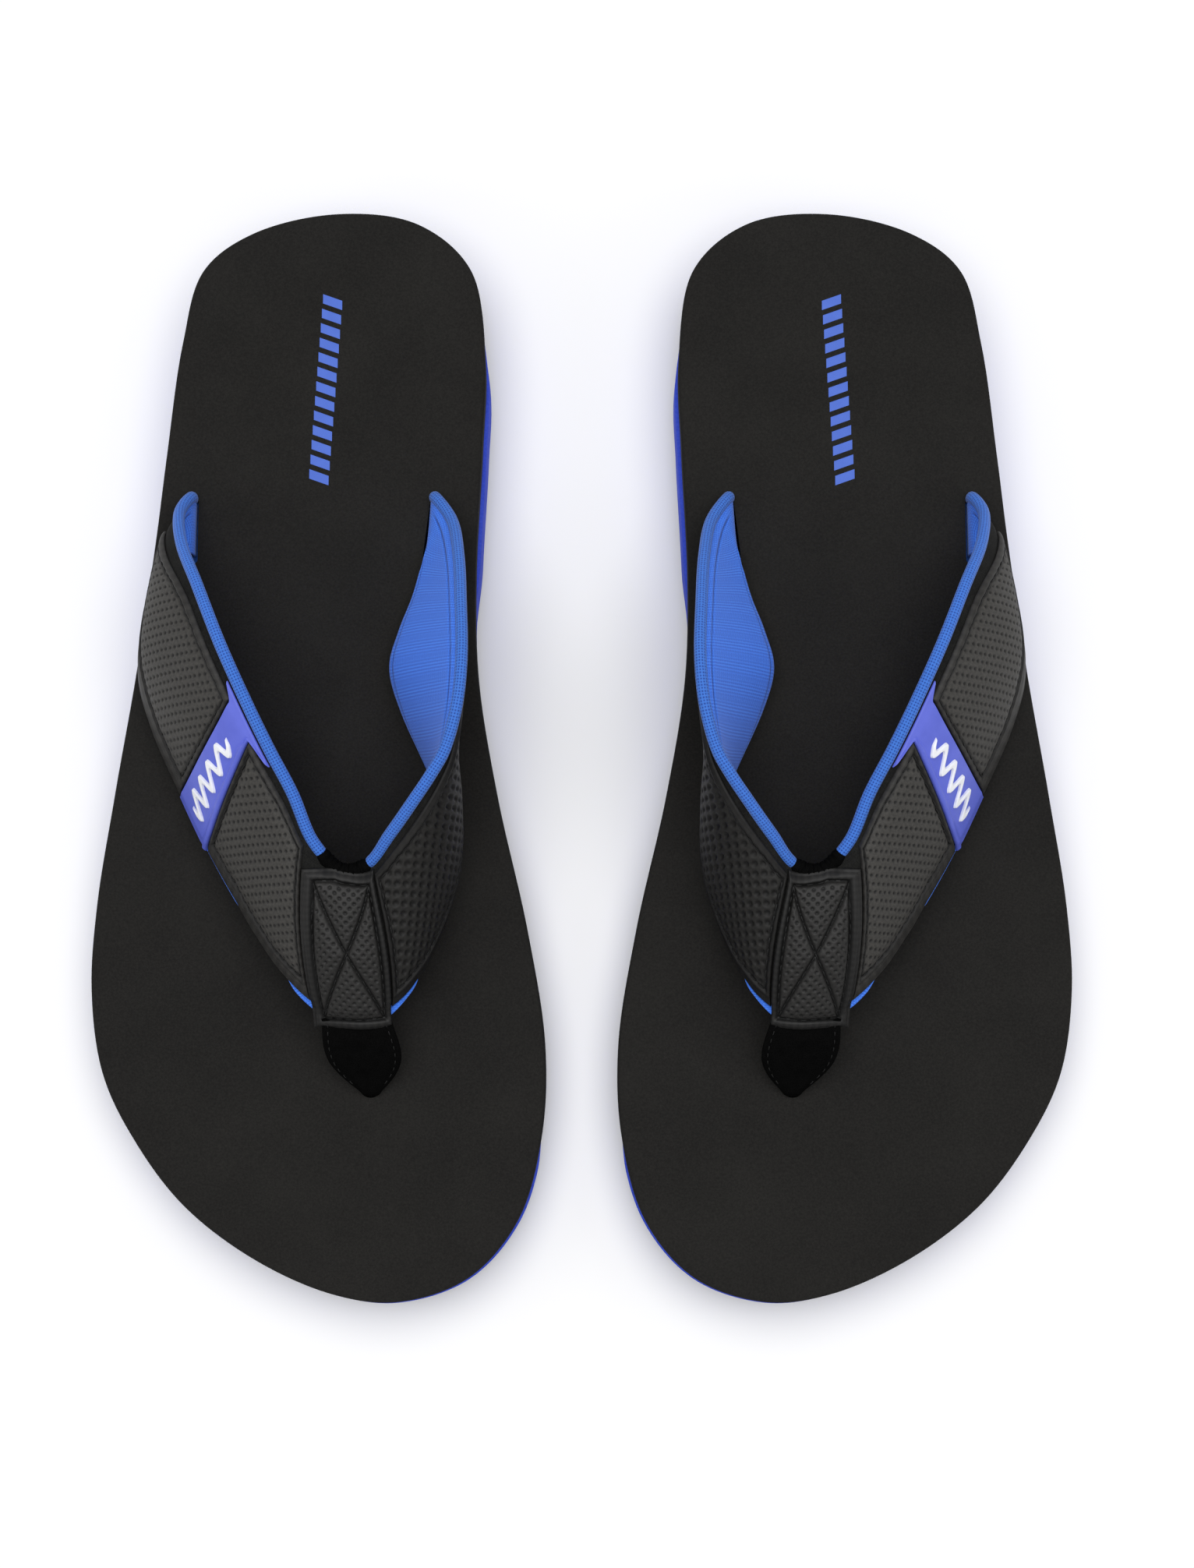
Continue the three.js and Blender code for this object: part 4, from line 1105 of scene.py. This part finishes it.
# %% Rows of stitches
def stitch_row(path, out, length=2.1, gap=0.7, radius=0.26):
    """Capsules along a path: rings of six points at shares of the length, and a pole at each end."""
    run = np.concatenate([[0], np.linalg.norm(np.diff(path, axis=0), axis=1).cumsum()])
    count = max(1, int(run[-1] // (length + gap)))
    middle = (np.arange(count) + 0.5) * run[-1] / count

    def pick(table, where):
        return np.stack([np.interp(where, run, table[:, k]) for k in range(3)], axis=-1)

    centre, up = pick(path, middle), pick(out, middle)
    ahead = pick(path, middle + length / 2) - pick(path, middle - length / 2)
    ahead /= np.linalg.norm(ahead, axis=1)[:, None]
    side = np.cross(ahead, up)
    side /= np.linalg.norm(side, axis=1)[:, None]
    up = np.cross(side, ahead)
    share = np.array([-1, -0.9, -0.5, 0, 0.5, 0.9, 1])
    girth = radius * np.array([0.02, 0.6, 0.95, 1, 0.95, 0.6, 0.02])
    arch = 0.16 * (1 - share**2)
    angle = 2 * np.pi * np.arange(6) / 6
    spine = centre[:, None] + ahead[:, None] * (share * length / 2)[:, None] + up[:, None] * arch[:, None]
    ring = side[:, None] * np.cos(angle)[:, None] + up[:, None] * np.sin(angle)[:, None]
    points = spine[:, :, None] + ring[:, None] * girth[:, None, None]
    index = np.arange(7 * 6).reshape(7, 6)
    faces = grid_faces(np.concatenate([index, index[:, :1]], axis=1))
    ends = np.stack([index[0][::-1], index[-1]])
    each = np.arange(count)[:, None, None] * index.size
    tables = [(faces + each).reshape(-1, 4), (ends + each).reshape(-1, 6)]
    return {"points": points.reshape(-1, 3), "faces": tables, "uv": [], "marks": {}}


def sewn_line(area, level, a, b, **sizes):
    """Stitches over a stretch of the strap along shares a and b, at a height above the ribbon."""
    u, v = area["spot"](a, b)
    return stitch_row(on_strap(u, v, level(u, v)), surface_normal(u, v), **sizes)


def sewn_lines(area, insets):
    """Lines inside the four edges of a stretch: along its start, its end, its rear and its front."""
    run = np.linspace(0, 1, 120)
    lines = []
    for side, inset in enumerate(insets):
        if side < 2:
            size = area["wide"](np.full(1, float(side)))[0]
            b = insets[2] / size + (1 - (insets[2] + insets[3]) / size) * run
            share = inset / area["long"](b)
            lines.append((share if side == 0 else 1 - share, b))
        else:
            size = area["long"](np.full(1, side - 2.0))[0]
            a = insets[0] / size + (1 - (insets[0] + insets[1]) / size) * run
            share = inset / area["wide"](a)
            lines.append((a, share if side == 2 else 1 - share))
    return lines


def panel_level(u, v):
    """Down in a panel's sewn channel."""
    return trim_bottom(u, v) + PLY["panel"] - 0.3


stitching = {}
for name, area in areas.items():
    rows = [sewn_line(area, panel_level, a, b) for a, b in sewn_lines(area, SEWN_ALONG[name])]
    stitching[name] = pair_of(name + "_stitches", mesh_of(name + "_stitches", joined(rows)), black_thread)

# %% [markdown]
# ## Badge
# The badge is a strip of soft moulded PVC across the outer arm, welded down, with two pointed wings
# along the binding and a raised edge at the front. The relief on it is a plain wave, moulded in white.

# %% Material: moulded PVC
def pvc_material(name, dark, light, gloss):
    """Smooth moulded plastic with a very slight orange-peel."""
    made = new_material(name)
    place = add(made, "ShaderNodeTexCoord", output="Object")
    cloud = add(made, "ShaderNodeTexNoise", {"Vector": place, "Scale": 1 / (4 * MM), "Detail": 2.0})
    fine = add(made, "ShaderNodeTexNoise", {"Vector": place, "Scale": 1 / (0.7 * MM), "Detail": 1.0})
    colour = add(made, "ShaderNodeMix", {"Factor": cloud, "A": linear(dark), "B": linear(light)},
                 output="Result", data_type="RGBA")
    bump = add(made, "ShaderNodeBump", {"Height": fine, "Strength": 0.12, "Distance": 0.1 * MM})
    return finish_with(made, {"Base Color": colour, "Roughness": 0.45, "Normal": bump,
                              "Specular IOR Level": gloss})


# Soft PVC from a mould, with a satin skin: violet blue, and white for the relief.
badge_pvc = pvc_material("moulded_pvc_violet_blue", "#525fc6", "#616dd6", 0.4)
white_pvc = pvc_material("moulded_pvc_white", "#e4e6ec", "#f3f4f8", 0.4)
print("badge finishes:", badge_pvc.name, white_pvc.name)


# %% Badge
def wing(v, reach):
    """How far, in ribs, a wing runs along the binding: it fades between 1.5 and 3 mm from the edge."""
    return reach * (1 - smooth((v - 0.036) / 0.036))


badge_area = stretch(lambda v: slanted(BADGE_START)(v) - wing(v, 0.25),
                     lambda v: slanted(BADGE_END)(v) + wing(v, 0.7), from_rear(1.5), from_front(0.2))


def badge_relief(p, q, edges):
    """A raised front edge with a shallow step behind it, and a gentle roll along the other edges."""
    ridge = 0.4 * np.exp(-((edges[1] - 0.9) / 0.55) ** 2)
    step = -0.15 * np.exp(-((edges[1] - 2.0) / 0.35) ** 2)
    body = 0.3 * smooth(edges[2] / 5.0)
    return ridge + step + body, 0 * p


shape = ply_shape(badge_area, trim_bottom, PLY["badge"], 0.35, rim=0.35, relief=badge_relief)
badge = pair_of("welded_badge", mesh_of("welded_badge", shape), badge_pvc)

# %% Wave on the badge
WAVE_LENGTH = 40.0
WAVE_RIM = 0.5
WAVE_LIFT = 0.35 # the wave stands on the badge's swollen face
WAVE_HEIGHT = 0.75
WAVE_ROOT = 0.2


def wave_shape():
    """A wave along the badge: u = middle + 0.14 sin(9 pi a) + 0.08 c and v = 0.2 + 0.62 a."""
    places = rim_steps(WAVE_LENGTH, WAVE_RIM, 0.2) / WAVE_LENGTH
    a, c = np.meshgrid(places, np.linspace(-1, 1, 11), indexing="ij")
    v = 0.2 + 0.62 * a
    u = (slanted(BADGE_START)(v) + slanted(BADGE_END)(v)) / 2 + 0.14 * np.sin(9 * np.pi * a) + 0.08 * c
    from_tip = np.clip(np.minimum(a, 1 - a) * WAVE_LENGTH / WAVE_RIM, 0, 1)
    close = np.sqrt(1 - np.maximum((1 - from_tip) ** 2, np.abs(c) ** 6))
    low = trim_bottom(u, v) + PLY["badge"] + WAVE_LIFT
    top, root = on_strap(u, v, low + WAVE_HEIGHT * close), on_strap(u, v, low - WAVE_ROOT * close)
    return two_sided(top, root, np.stack([a, c], axis=-1))


wave = pair_of("badge_wave", mesh_of("badge_wave", wave_shape()), white_pvc)

# %% [markdown]
# ## Patch, roll and toe post
# Where the arms meet, a perforated patch is sewn down with a box and a cross. A fuzzy black roll closes
# the gap between the two bindings. The toe post is a doubled velvet webbing: wide under the patch, and
# gathered to a point where it goes down through the footbed.

# %% Where the patch lies, and its sewn lines
PATCH_BOX = (3.0, 1.9, 2.9, 2.6) # insets of the sewn box from the patch's outer, inner, rear and front edge


def patch_rear(u):
    """The patch's rear edge runs straight across the shoe, so it leaves the strap's edge on the outer arm."""
    return 0.005 + 0.2 * np.clip((8.9 - u) / 1.2, 0, 1) ** 1.3 + 0.05 * np.clip((u - 9.3) / 1.0, 0, 1)


def patch_front(u):
    """Its front edge is straight too, so it hangs over the strap's edge more at the sides."""
    off = u - CENTRE_RIB
    return 1 + (1.3 + np.where(off < 0, 6.5, 3.5) * off**2) / strap_width(u)


patch_area = stretch(patch_side(-1, 0), patch_side(1, 0), patch_rear, patch_front)


def segment_distance(x, y, start, end):
    """Distance from points to a line between two points."""
    along = np.array(end) - np.array(start)
    t = np.clip(((x - start[0]) * along[0] + (y - start[1]) * along[1]) / (along @ along), 0, 1)
    return np.hypot(x - start[0] - t * along[0], y - start[1] - t * along[1])


def patch_lines():
    """The sewn box and cross as lines between shares along and across the patch."""
    wide, high = patch_area["long"](np.array(0.5)), patch_area["wide"](np.array(0.5))
    x0, x1 = PATCH_BOX[0] / wide, 1 - PATCH_BOX[1] / wide
    y0, y1 = PATCH_BOX[2] / high, 1 - PATCH_BOX[3] / high
    box = [((x0, y0), (x1, y0)), ((x1, y0), (x1, y1)), ((x1, y1), (x0, y1)), ((x0, y1), (x0, y0))]
    return box, [((x0, y0), (x1, y1)), ((x1, y0), (x0, y1))], (wide, high)


print("patch", [round(float(size), 1) for size in patch_lines()[2]], "mm")


# %% Patch
def patch_relief(p, q, edges):
    """Rolled borders, a sewn box with a cross in it, quilted fields between the lines, and dots on a
    square grid that is turned by 45 degrees."""
    x = edges[0] / (edges[0] + edges[1])
    y = edges[2] / (edges[2] + edges[3])
    _, cross, (wide, high) = patch_lines()
    size = np.array([wide, high])
    arms = [segment_distance(x * wide, y * high, start * size, end * size) for start, end in np.array(cross)]
    across = np.minimum.reduce(arms)
    inside, run = from_seam(edges, PATCH_BOX)
    line = np.where(inside > 0, np.minimum(inside, across), -inside)
    channel = np.exp(-(line / 0.42) ** 2)
    quilt = 1.15 * (1 - np.exp(-line / 1.6)) * (inside > 0)
    border = 0.7 * np.sin(np.pi * np.clip(-inside / 2.2, 0, 1)) ** 0.7
    diagonal = (p + q) * 0.7071, (q - p) * 0.7071
    hole = dots(*diagonal, 1.65, 1.65, 0.62, False) * smooth((line - 0.6) / 0.5) * (inside > 0)
    shade = 0.85 * smooth(-inside / 0.4) * (0.75 + 0.25 * np.sin(run * 3.7))
    # The second value is painted shade: dark in the dots, in the sewn channels and along the rolled border.
    return quilt + border - 0.5 * channel - 0.4 * hole, np.clip(hole ** 0.8 + channel + shade, 0, 1)


shape = ply_shape(patch_area, trim_bottom, PLY["patch"], 0.25, rim=0.6, relief=patch_relief)
patch = pair_of("crossed_patch", mesh_of("crossed_patch", shape, 60), dark_leather)


def patch_level(u, v):
    """Down in the patch's sewn channel."""
    return trim_bottom(u, v) + PLY["patch"] - 0.38


def patch_stitches():
    """Stitches along the box and along both arms of the cross."""
    run = np.linspace(0, 1, 200)
    box, cross, _ = patch_lines()
    rows = []
    for start, end in box + cross:
        a, b = (start[k] + (end[k] - start[k]) * run for k in (0, 1))
        rows.append(sewn_line(patch_area, patch_level, a, b, length=1.9, gap=0.6, radius=0.22))
    return joined(rows)


stitching["patch"] = pair_of("patch_stitches", mesh_of("patch_stitches", patch_stitches()), black_thread)

# %% Roll between the bindings
# Velvet takes in nearly all light: the deepest black of the shoe, with no gloss.
black_velvet = woven_material("velvet_webbing_black", "#030303", "#080808", 0.45, 0.04)
ROLL_RADIUS = 2.0


def roll_sag(u):
    """The roll hangs a little forward and down between the bindings, and its pile is uneven."""
    dip = np.sin((u - ROLL_ENDS[0]) / (ROLL_ENDS[1] - ROLL_ENDS[0]) * np.pi)[:, None]
    return dip * np.array([0.0, -0.6, -0.3]) + 0.16 * np.sin(np.outer(u * 37, [1.0, 1.7, 2.3]))


shape = rear_tube(*ROLL_ENDS, ROLL_RADIUS, 0.4, roll_sag)
roll = pair_of("velvet_roll", mesh_of("velvet_roll", shape), black_velvet)

# %% Toe post
POST_ROWS = 90
POST_POWER = 2.6 # of its sections: between an ellipse and a rectangle
post_foot = np.array([TOE_HOLE[0], TOE_HOLE[1], 0.0])
strap_tip = on_strap(np.array(float(CENTRE_RIB)), np.array(1.0), np.array(0.0))
post_top = strap_tip + np.array([-0.8, -0.9, -0.2])
hole_top = float(footbed_top(np.float64(TOE_HOLE[1])))


def post_table():
    """Sections from the patch down to the plug: share of the reach, height, half width, half thickness."""
    rows = np.array([
        (1.12, 1.07, 8.7, 0.9), (1.0, 0.99, 8.9, 1.0), (0.8, 0.86, 9.4, 1.0), (0.6, 0.68, 9.6, 1.1),
        (0.4, 0.49, 9.0, 1.3), (0.22, 0.3, 7.3, 1.5), (0.06, 0.16, 5.0, 1.7), (-0.06, 0.04, 2.7, 1.7),
        (-0.04, -0.14, 2.2, 2.0), (0.0, -0.45, 2.5, 2.5),
    ])
    centre = np.stack([
        post_foot[0] + (post_top[0] - post_foot[0]) * rows[:, 0],
        post_foot[1] + (post_top[1] - post_foot[1]) * rows[:, 0],
        hole_top + (post_top[2] - hole_top) * rows[:, 1],
    ], axis=1)
    bottom = np.array([[post_foot[0], post_foot[1], SEAT_TOP - 0.4, 2.5, 2.5]])
    return np.concatenate([np.column_stack([centre, rows[:, 2:]]), bottom])


table = post_table()
section = through(table, np.linspace(0, len(table) - 1, POST_ROWS))
centre, half_wide, half_thick = section[:, :3], section[:, 3], section[:, 4]
down = np.gradient(centre, axis=0)
down /= np.linalg.norm(down, axis=1)[:, None]
side = np.broadcast_to(np.array([1.0, 0.0, 0.0]), down.shape)
outward = np.cross(down, side)
outward /= np.linalg.norm(outward, axis=1)[:, None]
shape = tube(centre, side, outward, half_wide, half_thick, 48, POST_POWER)
post = pair_of("velvet_toe_post", mesh_of("velvet_toe_post", shape), black_velvet)

# %% Stitches along the toe post
SEAM_INSET = 1.5
seam_rows = []
on_top = slice(2, int(POST_ROWS * 0.6))
for hand in (-1, 1):
    offset = hand * (half_wide - SEAM_INSET)
    share = np.clip(np.abs(offset / half_wide), 0, 1)
    height = half_thick * (1 - share**POST_POWER) ** (1 / POST_POWER)
    line = centre + side * offset[:, None] + outward * height[:, None]
    seam_rows.append(stitch_row(line[on_top], outward[on_top], length=1.3, gap=0.9, radius=0.14))
stitching["post"] = pair_of("post_stitches", mesh_of("post_stitches", joined(seam_rows)), black_thread)

# %% [markdown]
# ## What is inside the sole
# Under the midsole each arm ends in a flat tail with a glued flange, and the toe post in a round plug.
# They hardly show, so a stack of rounded sections is enough.

# %% Tails and plug
# A moulded disc, black and satin.
plug_plastic = pvc_material("moulded_plug_plastic", "#1c1c1e", "#2a2a2c", 0.4)
FLANGE_LOW = OUTSOLE + LAYER_GAP + CLEARANCE
TAIL_DEPTH = 4.2 # from the footbed down to the tail's upper end, where the strap's plies take over
BEVEL = 0.4
tails = {}
for arm, place in SLOTS.items():
    stem_top = float(footbed_top(np.float64(place[1]))) - TAIL_DEPTH
    reach = TAIL_HALF_LONG + FLANGE, TAIL_HALF_WIDE + FLANGE
    stem = TAIL_HALF_LONG, TAIL_HALF_WIDE
    rows = [(FLANGE_LOW, reach[0] - BEVEL, reach[1] - BEVEL), (FLANGE_LOW + BEVEL,) + reach,
            (FLANGE_LOW + 1.2,) + reach, (FLANGE_LOW + 1.6, reach[0] - BEVEL, reach[1] - BEVEL),
            (FLANGE_LOW + 1.6, stem[0], stem[1]), (stem_top,) + stem]
    tails[arm] = pair_of(arm + "_glued_tail", mesh_of(arm + "_glued_tail", pillar(place, rows)), blue_knit)

disc = [(0, PLUG_RADIUS - 0.6), (0.5, PLUG_RADIUS), (1.5, PLUG_RADIUS), (2, PLUG_RADIUS - 0.6)]
rows = [(FLANGE_LOW + lift, radius, radius) for lift, radius in disc]
plug = pair_of("post_plug", mesh_of("post_plug", pillar(TOE_HOLE, rows)), plug_plastic)

# %% [markdown]
# ## Print on the heel
# The footbed carries a small print behind the strap. Here it is a row of slanted bars, a film of ink so
# thin that only its edge shows.

# %% Printed bars
# Screen ink dries as a thin, nearly matt skin.
print_ink = pvc_material("screen_ink_blue", "#4463be", "#5071d0", 0.2)
BAR_STARTS = [70.8 + 3.9 * k for k in range(13)]
BAR_LONG = 2.5
BAR_HALF = 2.5
SLANT = 0.9
DRIFT = 0.062 # the row leans outwards towards the strap
DRIFT_FROM = 94
ROW_X = 66.5
INK_LEVEL, INK_HALF = 0.03, 0.05


def printed_bar(start):
    """A slanted bar of ink that stands 0.08 mm above the footbed."""
    b, a = np.meshgrid(np.linspace(-1, 1, 9), np.linspace(0, 1, 7), indexing="ij")
    x = ROW_X + BAR_HALF * b + DRIFT * (DRIFT_FROM - start)
    y = start + BAR_LONG * a + SLANT * b
    edge = np.minimum.reduce([1 - np.abs(b), np.minimum(a, 1 - a)]) > 0
    level = footbed_top(y) + INK_LEVEL
    top, low = (np.stack([x, y, level + half * edge], axis=-1) for half in (INK_HALF, -INK_HALF))
    return two_sided(top, low, np.stack([a, b], axis=-1))


bars = joined([printed_bar(start) for start in BAR_STARTS])
heel_print = pair_of("heel_print", mesh_of("heel_print", bars), print_ink)

# %% [markdown]
# ## What moves with what
# Each sole bends at the ball of the foot, and the strap is held by both halves of the sole, by the toe
# post in front and by the slots behind. Here the layers and the strap's plies are whole pieces, baked
# where they stand, which don't bend. The toe post, its stitches and the plug ride on the forefoot, and
# the tails and the heel print on the shoe.

# %% Pieces baked in place and pieces that ride
HINGE_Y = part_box("left_footbed_rear")[0].y
SOLE_BEND = ((0, HINGE_Y - 22 * MM, 0), (0, HINGE_Y, 0))
STRAP_BEND = ((0, HINGE_Y - 8 * MM, 0), (0, HINGE_Y + 43 * MM, 0))


def bend(pieces, zone, slot, *nodes):
    """Pieces baked where they stand, with the model's nodes that they replace hidden. The zone is not used.
    """
    for side in SIDES:
        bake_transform(pieces[side])
        if nodes:
            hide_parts(*[side + "_" + node for node in nodes])


def ride(pieces, body, slot, *nodes):
    """Pieces that follow one body."""
    for side in SIDES:
        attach(pieces[side], side + "_" + body)
        if nodes:
            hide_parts(*[side + "_" + node for node in nodes])


print("soles bend from y =", round(SOLE_BEND[0][1], 3), "to", round(SOLE_BEND[1][1], 3), "m")

# %% Bodies and replaced nodes
bend(footbed, SOLE_BEND, "footbed_eva", "footbed_rear", "footbed_fore")
bend(midsole, SOLE_BEND, "midsole_eva", "midsole_rear", "midsole_fore")
bend(outsole, SOLE_BEND, "outsole_rubber", "outsole_rear", "outsole_fore")
for arm in ARMS:
    bend(linings[arm][0], STRAP_BEND, "knit_lining", arm + "_lining")
    bend(bindings[arm], STRAP_BEND, "knit_lining", arm + "_binding")
    bend(cores[arm], STRAP_BEND, "foam_core", arm + "_padding")
    bend(uppers[arm], STRAP_BEND, "strap_synthetic", arm + "_upper")
    ride(tails[arm], "shoe", "knit_lining", arm + "_tail")
for name in PANELS:
    bend(panels[name], STRAP_BEND, "perforated_panel", name + "_panel")
    bend(stitching[name], STRAP_BEND, "strap_synthetic")
bend(badge, STRAP_BEND, "badge_rubber", "badge")
bend(wave, STRAP_BEND, "badge_relief", "badge_relief")
bend(patch, STRAP_BEND, "perforated_panel", "centre_patch")
bend(stitching["patch"], STRAP_BEND, "strap_synthetic")
bend(roll, STRAP_BEND, "webbing", "centre_roll")
ride(post, "forefoot", "webbing", "toe_post")
ride(stitching["post"], "forefoot", "webbing")
ride(plug, "forefoot", "plug_plastic", "toe_plug")
ride(heel_print, "shoe", "badge_rubber")

# %% Sheets and padding
for side in SIDES:
    for arm, (pieces, area) in linings.items():
        widths = area["wide"](np.linspace(0, 1, 41))
        long, wide = float(area["long"](0.5)) * MM, float(widths.max()) * MM
        print(side, arm, "lining", round(long, 3), "by", round(wide, 3), "m")
